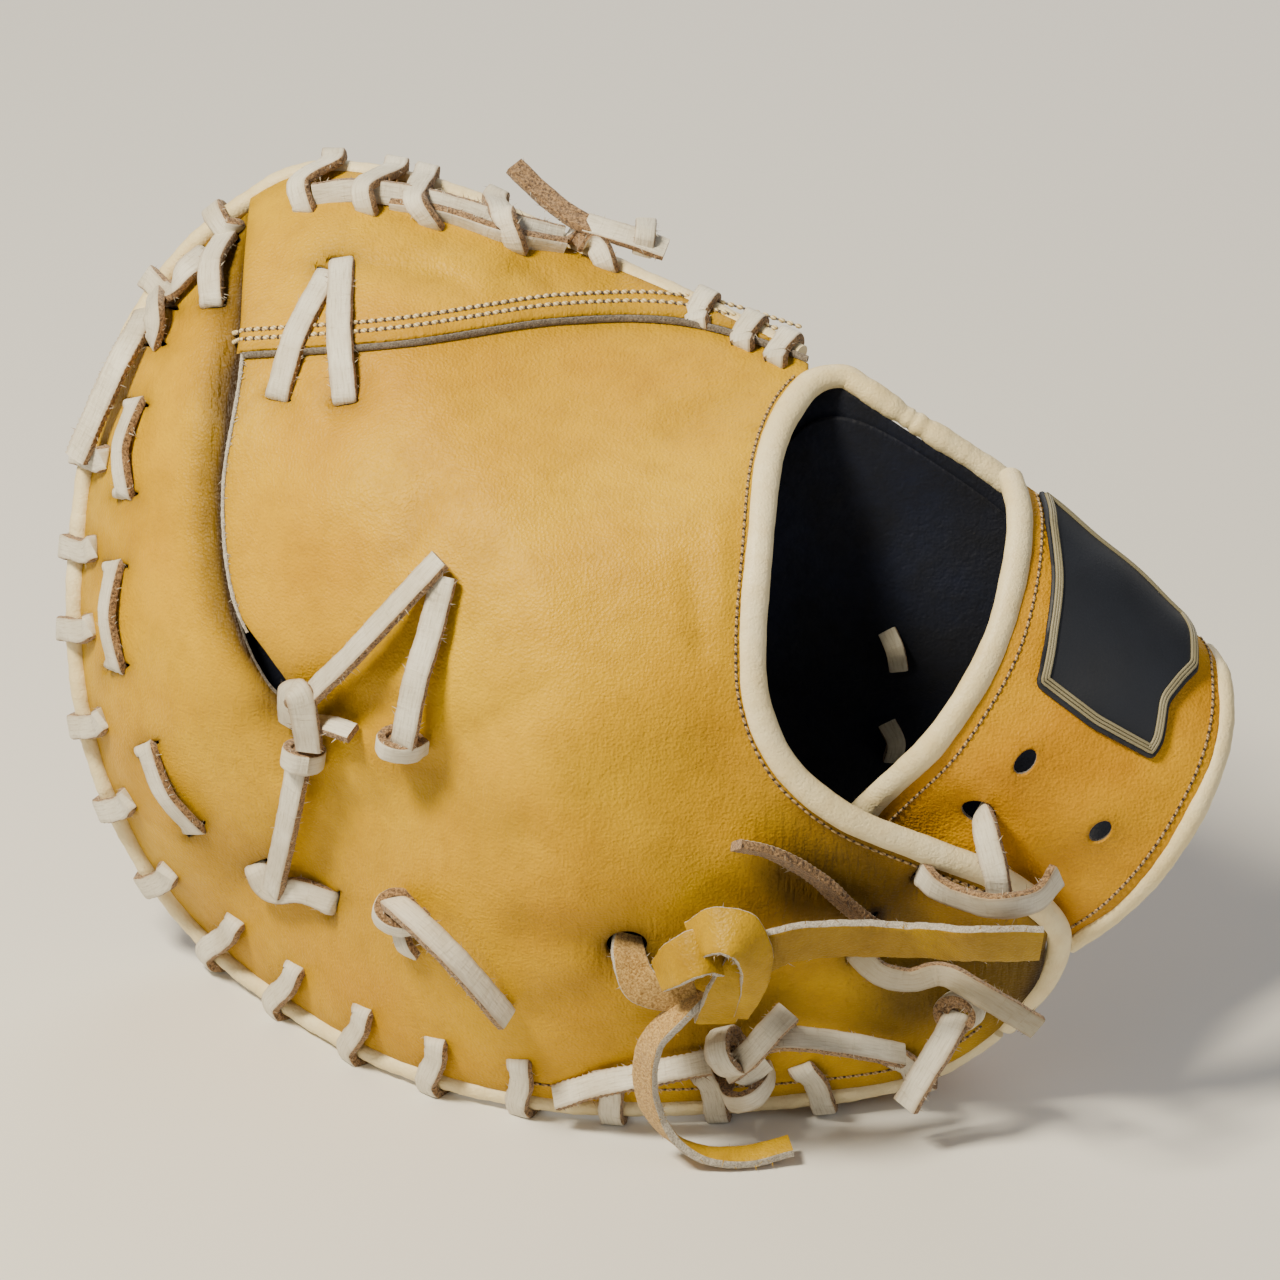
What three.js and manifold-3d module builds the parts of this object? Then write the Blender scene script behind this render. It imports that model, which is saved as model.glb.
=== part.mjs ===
// A left-hand first base mitt in tan leather, standing on its little-finger edge with its back to the front.
// Millimetres. In the finished object +X runs to the wrist, -Y out of the mitt's back and +Z up.
// The pieces are drawn in a leaning frame: x to the wrist, y up the mitt's back, z out of its back.
// One group at the end leans that frame back and stands it on the ground.
import * as THREE from "three";
import { mergeVertices } from "three/addons/utils/BufferGeometryUtils.js";
import Module from "manifold-3d";

const wasm = await Module();
wasm.setup();

// Driving dimensions
const LEAN = THREE.MathUtils.degToRad(60);
const STAND = { x: -0.75, y: 13.8, z: 107.6 };
const GAP = 0.35;
const LEATHER = 2.5;
const PALM_PAD = 6.0;
const LINING = 1.4;
const LACE = { width: 6.3, thick: 2.0, lift: 1.6 };
const THONG = { width: 13, thick: 2.6 };
const CENTRE = { x: -15, y: -5 };
const BACK_TOP = 76;
const PALM_TOP = { fingers: { x: -110, z: 46 }, wrist: { x: 60, z: 14 } };
const DOME = { power: 1.6, lipPower: 24 };
const SEAM_STEP = 1.2;
const SLIT_WIDTH = 2.2;
const BINDING = { edge: 2.4, opening: 3.3, strap: 2.6, rim: 2.9 };
// How far each binding stops short of its neighbour, in radians about the middle of the back
const BINDING_ENDS = { edgeStart: 0.12, edgeEnd: 0.06, rimStart: 0.02, rimEnd: 0.04 };
// The share of the way to the edge where the back's swells start to fade
const SWELL_FADE = 0.7;
// The share of the way in from the edge over which the palm thickens
const PAD_BAND = 0.25;
// Rings, spokes and how much the rings crowd towards the edge
const BACK_GRID = { rings: 9, spokes: 56 };
const PALM_GRID = { rings: 9, spokes: 52 };
const RING_CROWDING = 1.45;
// Steps along each swept or offset line
const STEPS = {
  opening: 28,
  line: 20,
  outline: 32,
  hole: 10,
  strap: 18,
  edge: 58,
  openingRoll: 36,
  rim: 8,
  rimRoll: 10,
  loop: 14,
};

// The laced edge of the back, from the thumb side of the hand opening over the top, round the fingers
// and along the ground to the heel lobe. lip is how much of the fall is a sharp roll at the edge.
const EDGE = [
  { x: 50, y: 68, z: 38, lip: 0.03 },
  { x: 23, y: 82, z: 24, lip: 0.03 },
  { x: -10, y: 97, z: 11, lip: 0.04 },
  { x: -52, y: 116, z: 0, lip: 0.05 },
  { x: -87, y: 121, z: -8, lip: 0.06 },
  { x: -106, y: 111, z: -14, lip: 0.09 },
  { x: -123, y: 95, z: -22, lip: 0.15 },
  { x: -137, y: 70, z: -25, lip: 0.18 },
  { x: -144, y: 45, z: -28, lip: 0.18 },
  { x: -147, y: 0, z: -34, lip: 0.18 },
  { x: -142, y: -31, z: -42, lip: 0.16 },
  { x: -130, y: -58, z: -54, lip: 0.12 },
  { x: -117, y: -75, z: -62, lip: 0.08 },
  { x: -99, y: -90, z: -46, lip: 0.05 },
  { x: -70, y: -107, z: -17, lip: 0.04 },
  { x: -46, y: -115, z: -3, lip: 0.03 },
  { x: -15, y: -120, z: 6, lip: 0.03 },
  { x: 42, y: -118, z: 5, lip: 0.03 },
  { x: 76, y: -112, z: 4, lip: 0.03 },
  { x: 93, y: -101, z: 13, lip: 0.03 },
  { x: 103, y: -88, z: 26, lip: 0.03 },
  { x: 105, y: -76, z: 40, lip: 0.03 },
];
// The back's surface goes on over the hand opening, where it is cut away
const OVER_OPENING = [
  { x: 114, y: -48, z: 50, lip: 0.03 },
  { x: 120, y: -8, z: 52, lip: 0.03 },
  { x: 98, y: 38, z: 47, lip: 0.03 },
];
// The palm's edge goes on round the wrist, under the strap
const ROUND_WRIST = [
  { x: 112, y: -77, z: 14, lip: 0.03 },
  { x: 122, y: -56, z: 2, lip: 0.03 },
  { x: 130, y: -32, z: 0, lip: 0.03 },
  { x: 146, y: -7, z: 23, lip: 0.03 },
  { x: 122, y: 16, z: 29, lip: 0.03 },
  { x: 95, y: 39, z: 31, lip: 0.03 },
  { x: 74, y: 58, z: 35, lip: 0.03 },
];

// Swells and hollows of the back: centre, radius and height
const BACK_SWELLS = [
  { x: -14, y: -62, radius: 42, z: 7 },
  { x: -88, y: -22, radius: 17, z: -6 },
  { x: 22, y: 30, radius: 34, z: 5 },
  { x: -40, y: 66, radius: 22, z: -3 },
];
// The padded heel on the palm side, which reaches the ground
const HEEL_PAD = { x: 70, radius: 40, z: -58, start: 0.035, full: 0.135, end: 0.4, y: -22, fade: 46 };

// Lines across the back, as points in x and y
const OPENING_LINE = [
  { x: 46, y: 71 },
  { x: 33.4, y: 47 },
  { x: 30.5, y: 21 },
  { x: 29, y: 0 },
  { x: 30, y: -16 },
  { x: 37, y: -32 },
  { x: 51.7, y: -45 },
  { x: 73.6, y: -54.5 },
  { x: 94, y: -62.7 },
  { x: 106, y: -73 },
];
const SLIT_LINE = [
  { x: -101, y: 128 },
  { x: -103, y: 100 },
  { x: -104.5, y: 70 },
  { x: -109, y: 38 },
  { x: -106, y: 10 },
  { x: -98, y: -6 },
  { x: -88, y: -20 },
];
const SEAM_LINE = [
  { x: -109, y: 74 },
  { x: -62, y: 77 },
  { x: -21, y: 83 },
  { x: 10, y: 83 },
  { x: 36, y: 76 },
  { x: 60, y: 66 },
];
const WEB_LINE = [
  { x: -72, y: 108 },
  { x: -104, y: 96 },
  { x: -124, y: 74 },
  { x: -129, y: 34 },
  { x: -116, y: 2 },
  { x: -82, y: 6 },
  { x: -60, y: 38 },
  { x: -56, y: 84 },
];
const CROTCH_HOLE = { x: -94, y: -9, radius: 5 };

// The wrist strap's rows, from its fold on the thumb side to its end under the heel lobe:
// the middle of the binding on the hand-opening side and on the wrist side
const STRAP = [
  { x: 96, y: 42, z: 37, wristX: 147, wristY: -3, wristZ: 29 },
  { x: 98, y: 33, z: 49, wristX: 150.5, wristY: -10, wristZ: 42 },
  { x: 97, y: 20, z: 57, wristX: 151, wristY: -20, wristZ: 49 },
  { x: 91, y: -2, z: 63, wristX: 148, wristY: -34, wristZ: 53 },
  { x: 77, y: -25, z: 62, wristX: 139, wristY: -52, wristZ: 51 },
  { x: 64, y: -38, z: 50, wristX: 126, wristY: -68, wristZ: 39 },
  { x: 54, y: -48, z: 40, wristX: 111.6, wristY: -79, wristZ: 24.4 },
];
const STRAP_HOLES = {
  radius: 2.8,
  length: 60,
  turn: 0.25,
  z: 50,
  at: [{ x: 99.2, y: -31.3 }, { x: 118.8, y: -49.1 }],
};
// The shield-shaped patch, on the strap from its fold down
const PATCH = {
  thick: 2.4,
  end: 0.72,
  depth: { from: 0, to: 120 },
  outline: [
    { x: 100, y: 60 },
    { x: 106, y: 32 },
    { x: 104.5, y: -13 },
    { x: 132.5, y: -30.5 },
    { x: 134, y: -20 },
    { x: 143.5, y: -8 },
    { x: 150, y: 60 },
  ],
};
const LINING_LINE = [
  { x: 22, y: 0 },
  { x: 30, y: -32 },
  { x: 62, y: -46 },
  { x: 100, y: -40 },
  { x: 120, y: -22 },
  { x: 112, y: 14 },
  { x: 80, y: 44 },
  { x: 48, y: 58 },
  { x: 28, y: 34 },
];

// The lace loops round the edge, by degrees about the middle of the back. lift is the height of the lace's
// middle above the leather; back and palm are how far in from the edge it goes on each side.
const LOOPS = [
  { angles: [58, 64, 72], lift: 2.9, back: 8, palm: 5.5 },
  { angles: [84, 98, 107, 113], lift: 5.6, back: 11, palm: 5.5 },
  { angles: [121], lift: 3.1, back: 9, palm: 5.5 },
  { angles: [130, 139, 158, 168, 177, 188, 198, 208], lift: 1.6, back: 3, palm: 5.5 },
  { angles: [218, 228, 239, 250, 262, 274], lift: 1.8, back: 8, palm: 5.5 },
  { angles: [287, 299, 309], lift: 1.8, back: 8, palm: 1.2 },
];
const LOOP_CLEAR = { binding: 0.6, palm: 0.7 };

// Laces over the back. A row's lift is the height of the lace's middle above the leather; a row with z
// instead stands clear of the leather at that depth.
const LACES = [
  {
    name: "thumb_lace",
    strands: [
      [{ x: -77.8, y: 98, lift: 2.9 }, { x: -77, y: 80, lift: 4.2 }, { x: -75.7, y: 63.2, lift: 1.8 }],
      [{ x: -78.5, y: 94, lift: 2.9 }, { x: -87, y: 79, lift: 3.6 }, { x: -94.5, y: 62.7, lift: 1.8 }],
    ],
  },
  {
    name: "finger_tip_lace",
    strands: [
      [{ x: -109, y: 101.5 }, { x: -111, y: 95, lift: 2.4 }, { x: -112, y: 86.5 }],
      [{ x: -110, y: 99.5 }, { x: -115, y: 94, lift: 2.2 }, { x: -120.5, y: 86 }],
    ],
  },
  {
    name: "finger_lace_1",
    strands: [[
      { x: -134.3, y: 61.4, lift: 1.3 },
      { x: -135.6, y: 50, lift: 2.2 },
      { x: -135.6, y: 38, lift: 1.3 },
    ]],
  },
  {
    name: "finger_lace_2",
    strands: [[
      { x: -137.6, y: 19, lift: 1.3 },
      { x: -138.2, y: 6, lift: 2.2 },
      { x: -136.2, y: -7, lift: 1.3 },
    ]],
  },
  {
    name: "finger_lace_3",
    strands: [[{ x: -129, y: -29.2 }, { x: -124.5, y: -40, lift: 2.6 }, { x: -117.5, y: -49.6 }]],
  },
  {
    name: "finger_tie_tail",
    strands: [[
      { x: -128, y: 78.5, lift: 1.4 },
      { x: -136, y: 74, z: -10.5 },
      { x: -145, y: 63, z: -13 },
      { x: -149, y: 47, z: -18 },
    ]],
  },
  {
    name: "thumb_edge_lace",
    strands: [[{ x: -80, y: 113, lift: 2.9 }, { x: -50, y: 109, lift: 2.9 }, { x: -17, y: 95, lift: 2.9 }]],
  },
  {
    name: "thumb_tie",
    strands: [[
      { x: -32.6, y: 123, z: 7 },
      { x: -22, y: 112.4, z: 8 },
      { x: -8, y: 103.7, z: 11 },
      { x: 2, y: 101.3, z: 14 },
      { x: 9, y: 98.4, z: 16 },
    ]],
  },
  {
    name: "crotch_lace",
    strands: [
      [
        { x: -86.2, y: -24, lift: 6 },
        { x: -79, y: -9, lift: 9 },
        { x: -66, y: 5, lift: 8 },
        { x: -52, y: 23, lift: 4 },
      ],
      [{ x: -86.2, y: -28, lift: 6 }, { x: -90, y: -42, lift: 5 }, { x: -96.1, y: -65.3, lift: 4.4 }],
      [{ x: -88, y: -24.5, lift: 5 }, { x: -77, y: -23, lift: 4 }],
    ],
    knot: { x: -86.2, y: -26.1, lift: 5.4, size: { x: 6.4, y: 10, z: 4.6 } },
  },
  {
    name: "crotch_cross_lace",
    strands: [[{ x: -99.7, y: -60 }, { x: -91, y: -65.5 }, { x: -80.9, y: -67.4 }]],
  },
  {
    name: "upper_knot_lace",
    strands: [[
      { x: -61.9, y: -27, lift: 4.6 },
      { x: -57.5, y: -6, lift: 5.5 },
      { x: -50, y: 14, lift: 2.6 },
    ]],
    knot: { x: -61.9, y: -28.2, lift: 3.1, size: { x: 7, y: 7, z: 2.8 } },
  },
  {
    name: "lower_knot_lace",
    strands: [[
      { x: -61.9, y: -72, lift: 5 },
      { x: -47, y: -87, lift: 6.5 },
      { x: -33.9, y: -99.2, lift: 4 },
    ]],
    knot: { x: -61.9, y: -71.8, lift: 3.6, size: { x: 8.4, y: 8.4, z: 3 } },
  },
  {
    name: "strap_lace",
    strands: [[{ x: 88, y: -43, z: 55.4 }, { x: 91, y: -53, z: 64 }, { x: 94, y: -63, z: 64 }]],
  },
  {
    name: "heel_cross_lace",
    strands: [[
      { x: 73, y: -62.5, lift: 2.4 },
      { x: 86.2, y: -70.5, lift: 3.4 },
      { x: 99, y: -70, z: 58 },
      { x: 109, y: -65, z: 57 },
    ]],
  },
  {
    name: "heel_upper_tail",
    strands: [[{ x: 24.8, y: -50.9, lift: 3 }, { x: 42, y: -58.5, lift: 2 }, { x: 58, y: -72 }]],
  },
  {
    name: "heel_middle_lace",
    strands: [[
      { x: 63, y: -86 },
      { x: 74, y: -85, lift: 2.6 },
      { x: 89, y: -93, lift: 5 },
      { x: 104, y: -102, z: 32 },
    ]],
  },
  {
    name: "heel_small_knot",
    strands: [[{ x: 81, y: -100, lift: 6 }, { x: 76, y: -108, z: 25 }, { x: 69.2, y: -120.5, z: 22 }]],
    knot: { x: 82, y: -98, lift: 5, size: { x: 6.2, y: 5.6, z: 4 } },
  },
  {
    name: "heel_big_knot",
    strands: [[{ x: 26, y: -106, lift: 7 }, { x: 46, y: -105, lift: 7 }, { x: 69, y: -105.5, lift: 8 }]],
    knot: { x: 26.1, y: -105.5, lift: 5.1, size: { x: 11, y: 10, z: 4.4 } },
  },
  {
    name: "heel_edge_lace",
    strands: [[{ x: -22, y: -114, lift: 5 }, { x: 0, y: -111.5, lift: 5 }, { x: 12, y: -106, lift: 4 }]],
  },
];
// The leather thong at the heel, which is wider than the laces
const THONG_LACE = {
  name: "heel_thong",
  strands: [
    [{ x: -2, y: -81, lift: 1.9 }, { x: 5, y: -86, lift: 7 }, { x: 16, y: -85, lift: 9 }],
    [
      { x: 22, y: -84, lift: 10 },
      { x: 45, y: -76, lift: 11 },
      { x: 75, y: -77, lift: 14 },
      { x: 103, y: -79, z: 67 },
    ],
    [
      { x: 17, y: -88, lift: 9 },
      { x: 4, y: -104, lift: 11 },
      { x: 2, y: -119, z: 26 },
      { x: 10, y: -131, z: 27 },
      { x: 24, y: -136, z: 32 },
      { x: 39.2, y: -132, z: 24 },
    ],
  ],
  knot: { x: 19.6, y: -85.6, lift: 9.5, size: { x: 13.5, y: 12.5, z: 5.6 } },
};
// A lace that stands clear of the leather faces up and forward
const CLEAR_FACE = { x: 0, y: 0.5, z: 0.87 };

const LEATHER_TAN = new THREE.MeshStandardMaterial({ color: 0xc8922e, roughness: 0.5, metalness: 0 });
const BINDING_CREAM = new THREE.MeshStandardMaterial({ color: 0xead9b0, roughness: 0.45, metalness: 0 });
const LACE_GREY = new THREE.MeshStandardMaterial({ color: 0xd8d4c8, roughness: 0.55, metalness: 0 });
const LINING_NAVY = new THREE.MeshStandardMaterial({ color: 0x0c1420, roughness: 0.8, metalness: 0 });
const RUBBER_NAVY = new THREE.MeshStandardMaterial({ color: 0x1e2a44, roughness: 0.6, metalness: 0 });

// Meshes and solids

function geometryOf(points, faces) {
  const geometry = new THREE.BufferGeometry();
  const places = points.flatMap((p) => [p.x, p.y, p.z]);
  geometry.setAttribute("position", new THREE.Float32BufferAttribute(places, 3));
  geometry.setIndex(faces.flat());
  return geometry;
}

function solidOf(geometry) {
  const bare = geometry.clone();
  bare.deleteAttribute("normal");
  bare.deleteAttribute("uv");
  const merged = mergeVertices(bare, 1e-4);
  const mesh = new wasm.Mesh({
    numProp: 3,
    vertProperties: new Float32Array(merged.attributes.position.array),
    triVerts: new Uint32Array(merged.index.array),
  });
  return new wasm.Manifold(mesh);
}

function geometryFrom(solid) {
  const mesh = solid.getMesh();
  const geometry = new THREE.BufferGeometry();
  geometry.setAttribute("position", new THREE.BufferAttribute(new Float32Array(mesh.vertProperties), 3));
  geometry.setIndex(Array.from(mesh.triVerts));
  geometry.computeVertexNormals();
  return geometry;
}

// A closed wall between two surfaces given over rings and spokes round a middle point
function discWall(front, back, shares, spokes) {
  const points = [front(0, 0), back(0, 0)];
  const faces = [];
  const place = (ring, spoke, side) => 2 + 2 * ((ring - 1) * spokes + (spoke % spokes)) + side;
  for (let ring = 1; ring <= shares.length; ring += 1) {
    for (let spoke = 0; spoke < spokes; spoke += 1) {
      const angle = (2 * Math.PI * spoke) / spokes;
      points.push(front(shares[ring - 1], angle), back(shares[ring - 1], angle));
    }
  }
  for (let spoke = 0; spoke < spokes; spoke += 1) {
    faces.push([0, place(1, spoke, 0), place(1, spoke + 1, 0)]);
    faces.push([1, place(1, spoke + 1, 1), place(1, spoke, 1)]);
    for (let ring = 1; ring < shares.length; ring += 1) {
      const [a, b] = [place(ring, spoke, 0), place(ring + 1, spoke, 0)];
      const [c, d] = [place(ring + 1, spoke + 1, 0), place(ring, spoke + 1, 0)];
      faces.push([a, b, c], [a, c, d]);
      faces.push([a + 1, c + 1, b + 1], [a + 1, d + 1, c + 1]);
    }
    const rim = [place(shares.length, spoke, 0), place(shares.length, spoke + 1, 0)];
    faces.push([rim[0], rim[0] + 1, rim[1] + 1], [rim[0], rim[1] + 1, rim[1]]);
  }
  return geometryOf(points, faces);
}

// A closed solid lofted through rings of equal length, with flat ends
function loft(rings) {
  const count = rings[0].length;
  const faces = [];
  for (let i = 0; i < rings.length - 1; i += 1) {
    for (let k = 0; k < count; k += 1) {
      const a = i * count + k;
      const b = i * count + ((k + 1) % count);
      faces.push([a, b, b + count], [a, b + count, a + count]);
    }
  }
  const last = (rings.length - 1) * count;
  for (let k = 1; k < count - 1; k += 1) {
    faces.push([0, k + 1, k], [last, last + k, last + k + 1]);
  }
  return geometryOf(rings.flat(), faces);
}

// A round roll along points, as an extruded section
function roll(points, radius, steps) {
  const section = new THREE.Shape().absarc(0, 0, radius, 0, 2 * Math.PI);
  const path = new THREE.CatmullRomCurve3(points, false, "centripetal");
  const settings = { steps, curveSegments: 4, extrudePath: path, bevelEnabled: false };
  return new THREE.ExtrudeGeometry(section, settings);
}

// A flat lace along points; across holds the direction of its width at each point
function ribbon(points, across, width, thick, steps) {
  const path = new THREE.CatmullRomCurve3(points, false, "centripetal");
  const sides = new THREE.CatmullRomCurve3(across, false, "centripetal");
  const rings = [];
  for (let i = 0; i <= steps; i += 1) {
    const share = i / steps;
    const middle = path.getPoint(share);
    const tangent = path.getTangent(share);
    const side = sides.getPoint(share);
    side.addScaledVector(tangent, -side.dot(tangent)).normalize();
    const up = new THREE.Vector3().crossVectors(side, tangent);
    const [half, rise] = [side.clone().multiplyScalar(width / 2), up.clone().multiplyScalar(thick / 2)];
    const corner = (w, t) => middle.clone().addScaledVector(half, w).addScaledVector(rise, t);
    rings.push([corner(1, 1), corner(1, -1), corner(-1, -1), corner(-1, 1)]);
  }
  return loft(rings);
}

// A straight prism through the mitt, over an outline in x and y
function prism(outline, depth = { from: -150, to: 150 }) {
  const shape = new THREE.Shape(outline.map((p) => new THREE.Vector2(p.x, p.y)));
  const geometry = new THREE.ExtrudeGeometry(shape, { depth: depth.to - depth.from, bevelEnabled: false });
  geometry.translate(0, 0, depth.from);
  return solidOf(geometry);
}

// A smooth curve through points
const curveOf = (points, closed) => new THREE.CatmullRomCurve3(points, closed, "centripetal");
const flatCurve = (line, closed) => curveOf(line.map((p) => new THREE.Vector3(p.x, p.y, 0)), closed);

// Points along a smooth line in x and y, moved sideways to its left by an offset
function offsetLine(line, offset, count) {
  const curve = flatCurve(line, false);
  return Array.from({ length: count + 1 }, (_, i) => {
    const point = curve.getPoint(i / count);
    const tangent = curve.getTangent(i / count);
    return { x: point.x - tangent.y * offset, y: point.y + tangent.x * offset };
  });
}

// The same for a closed outline, moved outwards
function grownOutline(line, offset, count) {
  const curve = flatCurve(line, true);
  return Array.from({ length: count }, (_, i) => {
    const point = curve.getPoint(i / count);
    const tangent = curve.getTangent(i / count);
    return { x: point.x + tangent.y * offset, y: point.y - tangent.x * offset };
  });
}

// Surfaces

// A closed edge as radius, depth and lip for each angle about the middle of the back
function edgeTable(rows) {
  const count = 720;
  const curve = curveOf(rows.map((p) => new THREE.Vector3(p.x, p.y, p.z)), true);
  const lips = curveOf(rows.map((p) => new THREE.Vector3(p.lip, 0, 0)), true);
  const samples = Array.from({ length: count }, (_, i) => {
    const point = curve.getPoint(i / count);
    const x = point.x - CENTRE.x;
    const y = point.y - CENTRE.y;
    const angle = (Math.atan2(y, x) + 2 * Math.PI) % (2 * Math.PI);
    return { angle, radius: Math.hypot(x, y), z: point.z, lip: lips.getPoint(i / count).x };
  }).sort((a, b) => a.angle - b.angle);
  return (angle) => {
    const turn = ((angle % (2 * Math.PI)) + 2 * Math.PI) % (2 * Math.PI);
    const next = samples.findIndex((s) => s.angle > turn);
    const high = samples[next < 0 ? 0 : next];
    const low = samples[next <= 0 ? count - 1 : next - 1];
    const span = (high.angle - low.angle + 2 * Math.PI) % (2 * Math.PI);
    const share = span > 0 ? ((turn - low.angle + 2 * Math.PI) % (2 * Math.PI)) / span : 0;
    return {
      radius: low.radius + (high.radius - low.radius) * share,
      z: low.z + (high.z - low.z) * share,
      lip: low.lip + (high.lip - low.lip) * share,
    };
  };
}

function polar(x, y) {
  return { angle: Math.atan2(y - CENTRE.y, x - CENTRE.x), distance: Math.hypot(x - CENTRE.x, y - CENTRE.y) };
}

function fall(share, lip) {
  return (1 - lip) * share ** DOME.power + lip * share ** DOME.lipPower;
}

const smooth = (value) => THREE.MathUtils.smoothstep(value, 0, 1);
const swell = (x, y, s) => s.z * Math.exp(-((x - s.x) ** 2 + (y - s.y) ** 2) / s.radius ** 2);
// The palm is thin at its edge and padded inside it
const padding = (share) => LEATHER + (PALM_PAD - LEATHER) * smooth((1 - share) / PAD_BAND);

const backEdge = edgeTable([...EDGE, ...OVER_OPENING]);

function backHeight(x, y) {
  const { angle, distance } = polar(x, y);
  const edge = backEdge(angle);
  const share = distance / edge.radius;
  const drop = fall(share, edge.lip);
  const swells = BACK_SWELLS.reduce((sum, s) => sum + swell(x, y, s), 0);
  const fade = 1 - smooth((share - SWELL_FADE) / (1 - SWELL_FADE));
  return BACK_TOP + (edge.z - BACK_TOP) * drop + swells * fade;
}

function normalOf(height, x, y) {
  const step = 0.6;
  const slopeX = (height(x + step, y) - height(x - step, y)) / (2 * step);
  const slopeY = (height(x, y + step) - height(x, y - step)) / (2 * step);
  return new THREE.Vector3(-slopeX, -slopeY, 1).normalize();
}

function pointOn(height, x, y, lift) {
  return new THREE.Vector3(x, y, height(x, y)).addScaledVector(normalOf(height, x, y), lift);
}

const onBack = (x, y, lift) => pointOn(backHeight, x, y, lift);

// The palm's inner face meets the back's inner face round the laced edge
const palmRows = EDGE.map((row) => {
  const point = onBack(row.x, row.y, -(LEATHER + GAP));
  return { x: point.x, y: point.y, z: point.z, lip: row.lip };
});
const palmEdge = edgeTable([...palmRows, ...ROUND_WRIST]);

function palmHeight(x, y) {
  const { angle, distance } = polar(x, y);
  const edge = palmEdge(angle);
  const share = distance / edge.radius;
  const drop = fall(share, edge.lip);
  const { fingers, wrist } = PALM_TOP;
  const between = THREE.MathUtils.clamp(x, fingers.x, wrist.x);
  const top = THREE.MathUtils.mapLinear(between, fingers.x, wrist.x, fingers.z, wrist.z);
  const across = Math.exp(-(((x - HEEL_PAD.x) / HEEL_PAD.radius) ** 2));
  const { start, full, end } = HEEL_PAD;
  const inward = smooth((1 - share - start) / (full - start)) * smooth((share - end) / (1 - end - full));
  const low = smooth((HEEL_PAD.y - y) / HEEL_PAD.fade);
  return top + (edge.z - top) * drop + HEEL_PAD.z * across * inward * low;
}

const ringShare = (ring, rings) => 1 - (1 - ring / rings) ** RING_CROWDING;
const ringShares = (rings) => Array.from({ length: rings }, (_, i) => ringShare(i + 1, rings));

// A wall over the whole back or palm, between two lifts above its surface
function fieldWall(height, edge, lifts, { rings, spokes }) {
  const at = (side) => (share, angle) => {
    const reach = share * edge(angle).radius;
    const x = CENTRE.x + reach * Math.cos(angle);
    const y = CENTRE.y + reach * Math.sin(angle);
    return pointOn(height, x, y, lifts[side](share));
  };
  return solidOf(discWall(at(0), at(1), ringShares(rings), spokes));
}

// A point on the back's laced edge, with the direction out of the edge and along it
function edgePoint(angle, radius = BINDING.edge, edge = backEdge, height = backHeight) {
  const at = (around, share) => {
    const reach = edge(around).radius * share;
    const x = CENTRE.x + reach * Math.cos(around);
    const y = CENTRE.y + reach * Math.sin(around);
    return new THREE.Vector3(x, y, height(x, y));
  };
  const point = at(angle, 1);
  const inward = 0.985;
  const turn = 0.02;
  const out = at(angle, 1).sub(at(angle, inward)).normalize();
  const along = at(angle + turn, 1).sub(at(angle - turn, 1)).normalize();
  const normal = new THREE.Vector3().crossVectors(out, along).normalize();
  out.crossVectors(along, normal).normalize();
  const middle = point.clone().addScaledVector(out, radius + GAP).addScaledVector(normal, -LEATHER);
  return { point, out, along, normal, middle };
}

const degrees = THREE.MathUtils.degToRad;
const angleOf = (row) => polar(row.x, row.y).angle;

// Parts

const mitt = new THREE.Group();

function addPart(name, geometry, material) {
  const mesh = new THREE.Mesh(geometry, material);
  mesh.name = name;
  mitt.add(mesh);
}

// Everything below the ground is trimmed away: the leather is flattened where it rests
const SLAB = { width: 500, thick: 60 };
const ground = (() => {
  const slab = new THREE.BoxGeometry(SLAB.width, SLAB.width, SLAB.thick);
  slab.translate(0, 0, -SLAB.thick / 2 - STAND.z);
  slab.rotateX(-LEAN);
  return solidOf(slab);
})();

const trimmed = (solid) => geometryFrom(solid.subtract(ground));

// Leather that meets the rolled bindings is cut clear of them
const clearOfBindings = (solid) => {
  return Object.values(bindingRolls()).reduce((rest, rollOf) => rest.subtract(rollOf(GAP)), solid);
};

// Far corners that close the cuts outside the mitt
const closeRight = [{ x: 260, y: -73 }, { x: 260, y: 140 }, { x: 47, y: 140 }];
const closeTop = [{ x: 120, y: 200 }, { x: -101, y: 200 }];
const leatherSide = BINDING.opening + GAP;
const openingCut = prism([...offsetLine(OPENING_LINE, -leatherSide, STEPS.opening), ...closeRight]);
const slitSide = (offset) => offsetLine(SLIT_LINE, offset, STEPS.line);
const slitCut = prism([...slitSide(SLIT_WIDTH / 2), ...slitSide(-SLIT_WIDTH / 2).reverse()]);

// The thumb panel covers the back above its seam, right of the slit
const aboveSeam = (offset) => prism([...offsetLine(SEAM_LINE, offset, STEPS.line), ...closeTop]);
const rightOfSlit = prism([...slitSide(0), { x: 200, y: -20 }, { x: 200, y: 128 }]);

function backPanels() {
  const cut = (solid) => clearOfBindings(solid.subtract(openingCut).subtract(slitCut));
  const shell = cut(fieldWall(backHeight, backEdge, [() => 0, () => -LEATHER], BACK_GRID));
  const step = [() => SEAM_STEP, () => SEAM_STEP - LEATHER];
  const raised = cut(fieldWall(backHeight, backEdge, step, BACK_GRID));
  addPart("back_shell", trimmed(shell.subtract(aboveSeam(-GAP).intersect(rightOfSlit))), LEATHER_TAN);
  addPart("thumb_panel", trimmed(raised.intersect(aboveSeam(GAP)).intersect(rightOfSlit)), LEATHER_TAN);
}

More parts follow.
